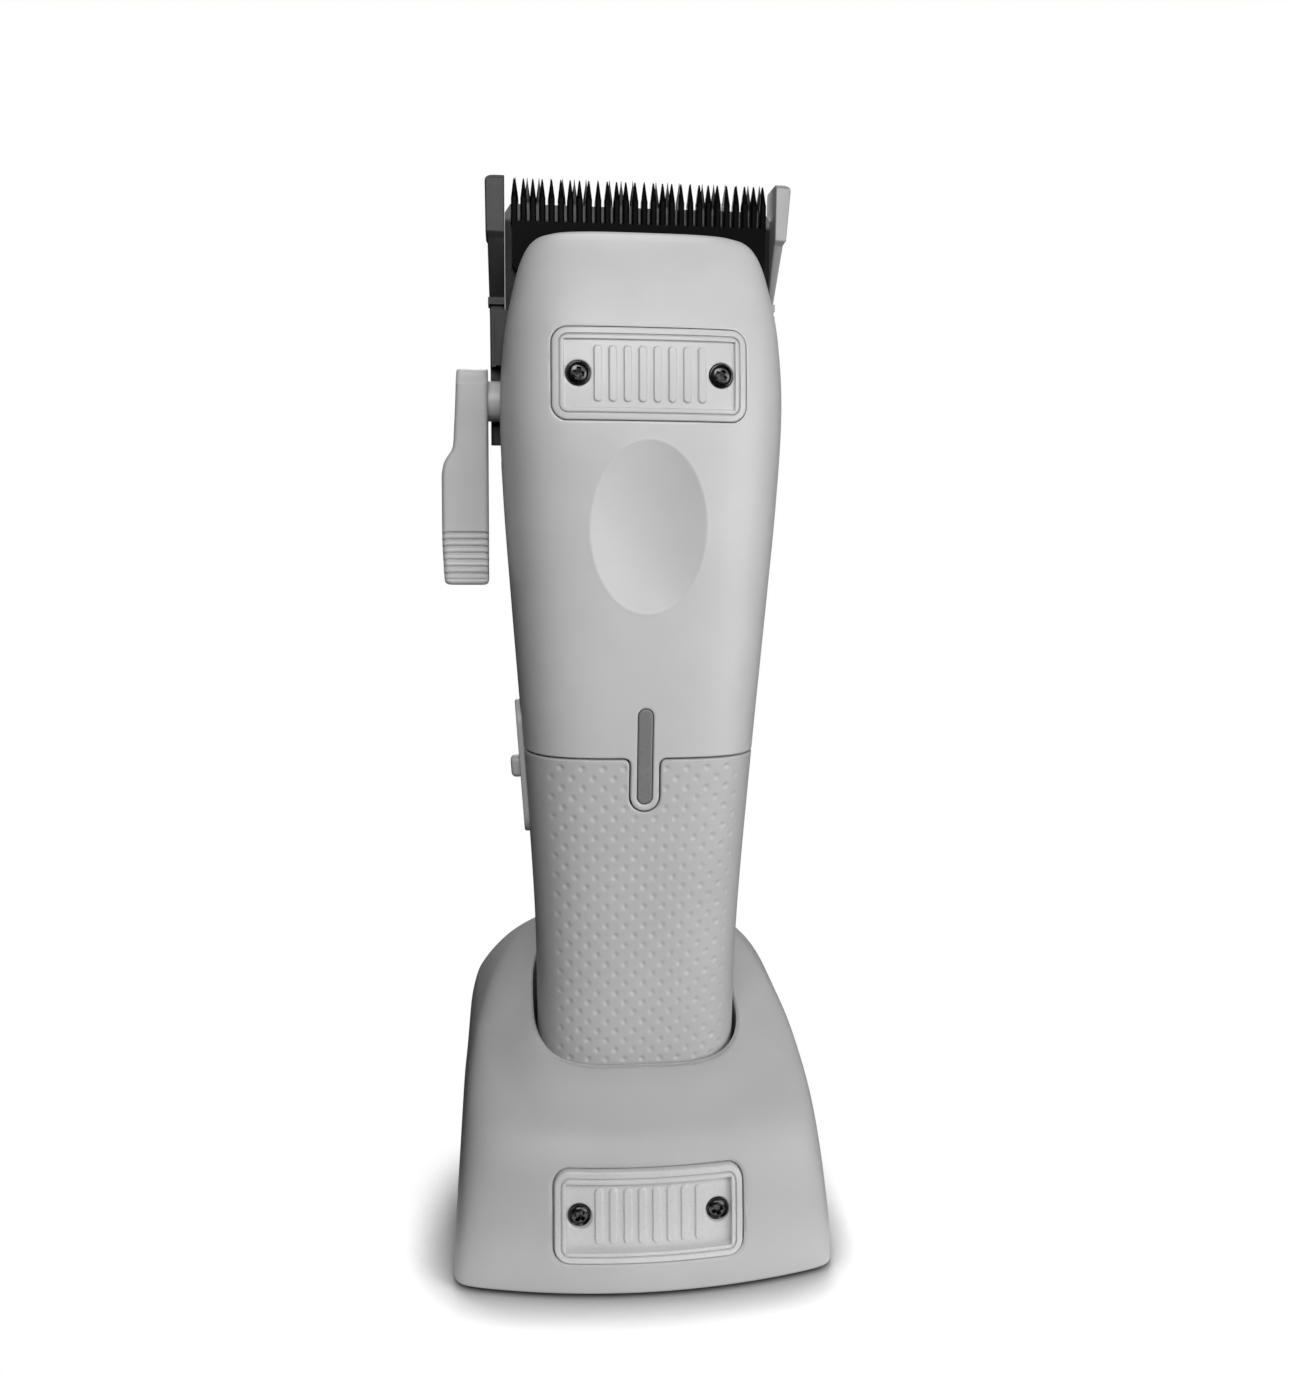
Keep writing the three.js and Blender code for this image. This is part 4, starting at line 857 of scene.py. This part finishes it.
def side_arm(side):
    """One arm of the blade bracket, with a thicker tab and a rounded outer corner at its top."""
    rings = []
    for z in spaced(*ARM_ROWS):
        outer, front, back = (np.interp(z, *zip(*table)) for table in (ARM_OUTER[side], ARM_FRONT, ARM_BACK))
        outer -= float(fillet(ARM_TOP - z, 1.1))
        middle, half = (outer + ARM_INNER) / 2, (outer - ARM_INNER) / 2
        ring = rounded_outline(side * middle, (front + back) / 2, half, (back - front) / 2, ARM_ROUND, 5)
        rings.append([(x, y, z) for x, y in ring])
    return ring_solid("tool", np.array(rings))


def blade_bracket():
    made = box(-24.2, 24.2, -0.2, 1.6, 140, 151)
    made.name = "bracket_with_arms"
    tongue = [box(-19, -17, -0.2, 5.2, 131.8, 139.7), box(-19, -17, -0.2, 1.6, 139, 141)]
    ledges = [box(-26.5, -23.7, 1.8, 6.9, 152.2, 153.4), box(23.7, 24.8, 1.8, 6.9, 152.2, 153.4)]
    ears = [box(-25.2, -23.5, -0.2, 3.6, 141, 151), box(23.5, 24.4, -0.2, 3.6, 141, 151)]
    join(made, *tongue, side_arm(-1), side_arm(1), *ears, *ledges)
    lever_room = box(-30, -23, -5, 4.5, PIVOT_Z - 4.2, PIVOT_Z + 6.2)
    cam_slot = box(-20, -16, 0.4, 4.6, PIVOT_Z - 1.7, PIVOT_Z + 1.7)
    cut(made, lever_room, cam_slot, *blade_holes(1.7, -3, 5))
    settle(made, "blade_carrier", ["blade_bracket"], FINISH["bracket"])


# -------- taper lever
LEVER = np.array([  # height, outer x, front y, back y
    [103.2, -34.25, -6.2, 0.4], [105, -34.4, -5.25, 1.1], [107.5, -34.55, -4.45, 1.95],
    [110, -34.7, -3.85, 2.65], [112.5, -34.74, -3.5, 3.15], [116, -34.74, -3.45, 3.65],
    [120, -34.72, -3.5, 4.1], [122.2, -34.7, -3.6, 4.35], [123.6, -34.5, -3.65, 4.42],
    [124.6, -34.2, -3.67, 4.47], [125.6, -33.6, -3.7, 4.52], [126.5, -33.0, -3.72, 4.57],
    [127.5, -32.68, -3.75, 4.62], [130, -32.5, -3.8, 4.75], [PIVOT_Z, -32.2, -4.2, 5.4],
    [141.5, -32.0, -4.2, 5.4],
])
LEVER_INNER, LEVER_LOW, LEVER_ROUND, LEVER_TOP = -26.6, 103.2, 0.9, 5.5
LEVER_ROWS = [
    (LEVER_LOW, LEVER_LOW + 1, 0.06), (LEVER_LOW + 1, 114, 0.1), (114, 136, 0.35),
    (136, 139.6, 0.12), (139.6, PIVOT_Z + LEVER_TOP, 0.03),
]
RIBS_START, RIBS_END, RIB_PITCH, RIB_DEPTH, RIB_BOW = (0.7, 1.2), (9.2, 9.6), 1.18, 0.5, 0.035


def taper_lever():
    top = PIVOT_Z + LEVER_TOP
    rows = spaced(*LEVER_ROWS)
    outer, front, back = read_table(LEVER, rows)
    arc = np.sqrt(np.maximum(LEVER_TOP**2 - np.maximum(rows - PIVOT_Z, 0) ** 2, 0.02))
    front, back = np.maximum(front, PIVOT_Y - arc), np.minimum(back, PIVOT_Y + arc)
    pinch = fillet(rows - LEVER_LOW, 0.8)
    outer, front, back = outer + pinch + fillet(top - rows, 0.5), front + pinch, back - pinch
    inner = LEVER_INNER - pinch
    rings = []
    for z, x0, x1, y0, y1 in zip(rows, outer, inner, front, back):
        radius = min(LEVER_ROUND, (y1 - y0) * 0.45, (x1 - x0) * 0.45)
        ring = rounded_outline((x0 + x1) / 2, (y0 + y1) / 2, (x1 - x0) / 2, (y1 - y0) / 2, radius, 9)
        rings.append([(px, py, z) for px, py in ring])
    rings = np.array(rings)
    up = rings[..., 2] - LEVER_LOW
    ribbed = smooth_step(*RIBS_START, up) * (1 - smooth_step(*RIBS_END, up))
    bowed = up + RIB_BOW * (rings[..., 0] + 30.5) ** 2
    groove = (0.5 + 0.5 * np.cos(2 * math.pi * bowed / RIB_PITCH)) ** 3
    facing = 1 - smooth_step(0.0, 2.5, rings[..., 1] - front[:, None])
    rings[..., 1] += RIB_DEPTH * groove * ribbed * facing
    made = ring_solid("taper_lever_arm", rings)
    pivot = (PIVOT_Y, PIVOT_Z)
    join(made, rod("x", 3.5, pivot, -27.5, -23.8, 64))
    bores = ((2.8, -29.4, -17), (2.5, -FAR, -31.1), (1.5, -FAR, -28))
    cut(made, *[rod("x", radius, pivot, low, high) for radius, low, high in bores])
    settle(made, "taper_lever", ["taper_lever"], FINISH["casing"], 40)


# -------- dock
def socket_distance(points):
    """Distance outside the socket's wall, from a point of the dock."""
    own = unleaned(points)
    half, front, back = read_grid(FORM, np.maximum(own[..., 2], GRIP_LOW))
    x, y = np.abs(own[..., 0]), np.abs(own[..., 1])
    depth = np.where(own[..., 1] < 0, front, back) + SOCKET_GAP
    reach = ((x / (half + SOCKET_GAP)) ** FORM_POWER + (y / depth) ** FORM_POWER) ** (1 / FORM_POWER)
    return np.hypot(x, y) * (1 - 1 / np.maximum(reach, 1e-6))


def cup(low, high, grow):
    rows = spaced((low, high, 2.0))
    points = form_points(np.maximum(rows, GRIP_LOW), round_angles(150, 150), grow)
    points[..., 2] = rows[:, None]
    return ring_solid("tool", leaned(points))


def dock_solid(low, high, grow, step=2.0, lift=0.0):
    rows = spaced((low, high, step))
    levels = np.clip(rows + np.where(rows > 20, lift, 0), DOCK_LOW, DOCK_TOP)
    points = dock_points(levels, round_angles(90, 90, 8), grow)
    points[..., 2] = rows[:, None]
    return ring_solid("tool", points)


def dock_plate_layer(outer, inner, grow):
    layer = cut(dock_solid(3, 27, outer), dock_solid(2, 28, inner))
    return keep(layer, plate_prism(DOCK_PLATE_Z, grow))


def dock_shell():
    points = dock_points(spaced(*DOCK_ROWS), round_angles(290, 130, 20))
    x, y, z = np.moveaxis(points, -1, 0)
    depth = fillet(z - DOCK_LOW, 0.6) + np.where(y > 30, 0.03, 0)
    depth += np.where(y < -20, fillet(plate_distance(x, z - DOCK_PLATE_Z) - GAP, 0.45), 0)
    away = socket_distance(points)
    depth += np.where(z > 22, fillet(away, RIM_RADIUS), 0)
    lip = LIP_RISE * (1 - smooth_step(0, LIP_WIDTH, away))
    depth -= lip * smooth_step(2, 14, -y) * smooth_step(20, 26, z)
    made = ring_solid("dock_body", sink(points, depth))
    hollow = dock_solid(0, DOCK_TOP - DOCK_WALL, -DOCK_WALL, lift=DOCK_WALL)
    cut(hollow, cup(SOCKET_FLOOR - SOCKET_WALL, 60, SOCKET_GAP + SOCKET_WALL),
        *[rod("z", 3.2, at, 4, 40, 32) for at in DOCK_SCREWS])
    contact_window = tilt(box(-10, 10, -4.5, 4.5, SOCKET_FLOOR - 6, SOCKET_FLOOR + 1))
    inlet_window = prism("tool", rounded_outline(0, 8.05, 4.8, 1.85, 0.8), 30, 50)
    plate_pocket = dock_plate_layer(2, PLATE_PROUD - PLATE_THICK - GAP, GAP)
    cut(made, hollow, cup(SOCKET_FLOOR, 70, SOCKET_GAP), plate_pocket,
        *[rod("z", 1.5, at, 0, 14, 24) for at in DOCK_SCREWS],
        *[rod("y", SHANK_HOLE, (s * PLATE_SCREW_X, DOCK_PLATE_Z), -41, -27) for s in (-1, 1)],
        contact_window, inlet_window)
    settle(made, "dock", ["dock_shell"], FINISH["dock"], in_clipper=False)


def dock_nameplate():
    made = plate_block("dock_plate_face", dock_face, DOCK_PLATE_Z, 1.15)
    cut(made, dock_solid(2, 28, -1.2, 1.0),
        *[rod("y", PLATE_WELL, (s * PLATE_SCREW_X, DOCK_PLATE_Z), -50, -20) for s in (-1, 1)])
    keep(made, plate_prism(DOCK_PLATE_Z, 0))
    settle(made, "dock", ["dock_nameplate"], FINISH["dock_plate"], in_clipper=False)


def base_layers():
    for name, node, low, high, grow, slot, finish in (
        ("base_cover", "dock_base_plate", 1.3, 3.3, -DOCK_WALL - 2 * GAP, "black_plastic", "black"),
        ("rubber_foot", "dock_rubber_pad", 0.0, 1.0, -DOCK_WALL - 1.6, "pad_rubber", "rubber"),
    ):
        ring = dock_points(np.array([2.0]), round_angles(110, 110, 14), grow)[0]
        inset = [(0.25, 0.0), (0.07, 0.07), (0.0, 0.25)]
        levels = [(i, low + d) for i, d in inset] + [(i, high - d) for i, d in reversed(inset)]
        rings = []
        for shrink, z in levels:
            scale = 1 - shrink / 30
            rings.append(np.stack([ring[:, 0] * scale, ring[:, 1] * scale, np.full(len(ring), z)], -1))
        made = ring_solid(name, np.array(rings))
        if node == "dock_base_plate":
            holes = ((1.7, 6), (WELL_RADIUS, 2.4))
            cut(made, *[rod("z", radius, at, 0, deep, 32) for radius, deep in holes for at in DOCK_SCREWS])
        settle(made, "dock", [node], FINISH[finish], in_clipper=False)


# -------- CAD nodes that keep their shape
KEPT = {  # finish, rounding in mm
    "head_frame": ("black", 0.25), "switch_module": ("black", 0.2),
    "battery_cell": ("battery", 0.5), "battery_cradle": ("black", 0.15), "circuit_board": ("board", 0.1),
    "motor": ("steel", 0.4), "motor_shaft": ("steel", 0.15), "drive_cam": ("brass", 0.2),
    "drive_fork": ("black", 0.25), "tension_spring": ("steel", 0.1), "lever_cam_shaft": ("steel", 0.15),
    "charge_contact_left": ("brass", 0.15), "charge_contact_right": ("brass", 0.15),
    "contact_block": ("black", 0.25), "contact_pin_left": ("brass", 0.2), "contact_pin_right": ("brass", 0.2),
    "contact_spring_left": ("steel", 0.1), "contact_spring_right": ("steel", 0.1),
    "dock_circuit_board": ("board", 0.1), "charging_inlet": ("steel", 0.1), "dock_ballast": ("steel", 0.3),
}


def dress_cad():
    """Gives the CAD nodes that stay visible a finish and rounded edges, without moving them."""
    for name, (finish, round_mm) in KEPT.items():
        node = frame["nodes"][name]
        for slot in node.material_slots:
            slot.link = "OBJECT"
            slot.material = FINISH[finish]
        node.data.shade_smooth()
        node.data.set_sharp_from_angle(angle=math.radians(32))
        bevel = node.modifiers.new("rounding", "BEVEL")
        bevel.width, bevel.segments = round_mm * 0.001, 2
        bevel.limit_method, bevel.angle_limit = "ANGLE", math.radians(35)


# -------- stage, light and camera
FLOOR_RADIUS, FLOOR_GLOW = 0.6, 0.6
# reach of the floor's painted contact shadow, and the occlusion at which the floor's glow runs out
SHADOW_REACH, SHADOW_LOW = 0.013, 0.67
FADE_Y, FADE_START, FADE_END = -0.03, 0.036, 0.056
AMBIENT = 0.02
TARGET = (0.0, 0.0, 0.09)
LIGHTS = [  # name, azimuth, elevation, distance, size, strength
    ("front", -12, 40, 0.45, 0.25, 0.55),
    ("side", 55, 5, 0.4, 0.25, 0.36),
    ("low", 32, 5, 0.4, 0.25, 0.2),
    ("key", 32, 30, 0.4, 0.25, 0.15),
    ("rear", 180, 65, 0.6, 0.25, 0.19),
    ("back", 172, 22, 0.6, 0.3, 0.4),
]


def stage():
    """A glowing floor, which fades into the white background, with a painted contact shadow: ambient
    occlusion darkens its glow and colour near the object.
    """
    outline = circle(0, 0, FLOOR_RADIUS, 64)
    floor = new_object("floor", [(x, y, 0) for x, y in outline], [tuple(range(len(outline)))])
    pale = finish_of("pale_floor", grey(0.92), 0.9, grain=60, relief=0.0, spread=0.01, blotch=3, specular=0.1)
    nodes, links = pale.node_tree.nodes, pale.node_tree.links
    shader = nodes["Principled BSDF"]
    shader.inputs["Emission Color"].default_value = (1, 1, 1, 1)
    # painted contact shadow: ambient occlusion near the object dims the floor's glow and darkens its colour
    near = nodes.new("ShaderNodeAmbientOcclusion")
    near.inputs["Distance"].default_value = SHADOW_REACH
    near.samples = 8
    glow_with_painted_shadow = map_range(nodes, SHADOW_LOW, 1.0, 0.0, FLOOR_GLOW)
    links.new(near.outputs["AO"], glow_with_painted_shadow.inputs["Value"])
    links.new(glow_with_painted_shadow.outputs["Result"], shader.inputs["Emission Strength"])
    links.new(near.outputs["Color"], shader.inputs["Base Color"])
    place, reach = nodes.new("ShaderNodeTexCoord"), nodes.new("ShaderNodeVectorMath")
    reach.operation = "LENGTH"
    centre = nodes.new("ShaderNodeMapping")
    centre.inputs["Location"].default_value = (0, -FADE_Y, 0)
    links.new(place.outputs["Object"], centre.inputs["Vector"])
    links.new(centre.outputs["Vector"], reach.inputs[0])
    fade = map_range(nodes, FADE_START, FADE_END)
    fade.interpolation_type = "SMOOTHSTEP"
    links.new(reach.outputs["Value"], fade.inputs["Value"])
    open_air, mix = nodes.new("ShaderNodeBsdfTransparent"), nodes.new("ShaderNodeMixShader")
    links.new(fade.outputs["Result"], mix.inputs["Fac"])
    links.new(shader.outputs["BSDF"], mix.inputs[1])
    links.new(open_air.outputs["BSDF"], mix.inputs[2])
    links.new(mix.outputs["Shader"], nodes["Material Output"].inputs["Surface"])
    floor.data.materials.append(pale)


def outward(azimuth, elevation):
    """The direction from the object at an azimuth from the front and an elevation, in radians."""
    level = math.cos(elevation)
    return Vector((math.sin(azimuth) * level, -math.cos(azimuth) * level, math.sin(elevation)))


def area_light(name, azimuth, elevation, distance, size, strength):
    """A square light facing the object; strength is what it gives a white surface that faces it."""
    way = outward(math.radians(azimuth), math.radians(elevation))
    lamp = bpy.data.lights.new(name, "AREA")
    lamp.shape, lamp.size = "SQUARE", size
    lamp.energy = strength * (math.pi * distance) ** 2
    made = bpy.data.objects.new(name, lamp)
    made.location = Vector(TARGET) + way * distance
    made.rotation_euler = (-way).to_track_quat("-Z", "Y").to_euler()
    bpy.context.scene.collection.objects.link(made)


def lighting():
    world = bpy.data.worlds.new("studio")
    bpy.context.scene.world = world
    world.use_nodes = True
    nodes, links = world.node_tree.nodes, world.node_tree.links
    back = nodes["Background"]
    back.inputs["Color"].default_value = (1, 1, 1, 1)
    path = nodes.new("ShaderNodeLightPath")
    level = map_range(nodes, 0.0, 1.0, AMBIENT)
    links.new(path.outputs["Is Camera Ray"], level.inputs["Value"])
    links.new(level.outputs["Result"], back.inputs["Strength"])
    for light in LIGHTS:
        area_light(*light)
    bpy.context.scene.view_settings.view_transform = "Standard"
    bpy.context.scene.view_settings.look = "None"


CAMERA_AT, CAMERA_FOCAL = (-0.023834, -0.232586, 0.148728), 34.28
CAMERA_AZIMUTH, CAMERA_PITCH, CAMERA_ROLL = -6.516, 12.164, 1.067


def camera():
    roll = math.radians(CAMERA_ROLL)
    back = outward(math.radians(CAMERA_AZIMUTH), math.radians(CAMERA_PITCH))
    right = (-back).cross(Vector((0, 0, 1))).normalized()
    up = right.cross(-back)
    rolled_right = right * math.cos(roll) + up * math.sin(roll)
    rolled_up = up * math.cos(roll) - right * math.sin(roll)
    lens = bpy.data.cameras.new("camera")
    lens.sensor_width, lens.sensor_fit, lens.lens = 36.0, "AUTO", CAMERA_FOCAL
    lens.clip_start, lens.clip_end = 0.01, 50
    made = bpy.data.objects.new("camera", lens)
    turn = Matrix((rolled_right, rolled_up, back)).transposed().to_4x4()
    made.matrix_world = Matrix.Translation(CAMERA_AT) @ turn
    bpy.context.scene.collection.objects.link(made)
    bpy.context.scene.camera = made


def build():
    camera()
    lighting()
    stage()
    front_cover()
    rear_cover()
    grip("grip_front_skin", "grip_front", True)
    grip("grip_rear_skin", "grip_rear", False)
    end_cap()
    nameplate()
    battery_lamp()
    power_switch()
    blades()
    blade_bracket()
    taper_lever()
    dock_shell()
    dock_nameplate()
    base_layers()
    screws()
    dress_cad()


build()
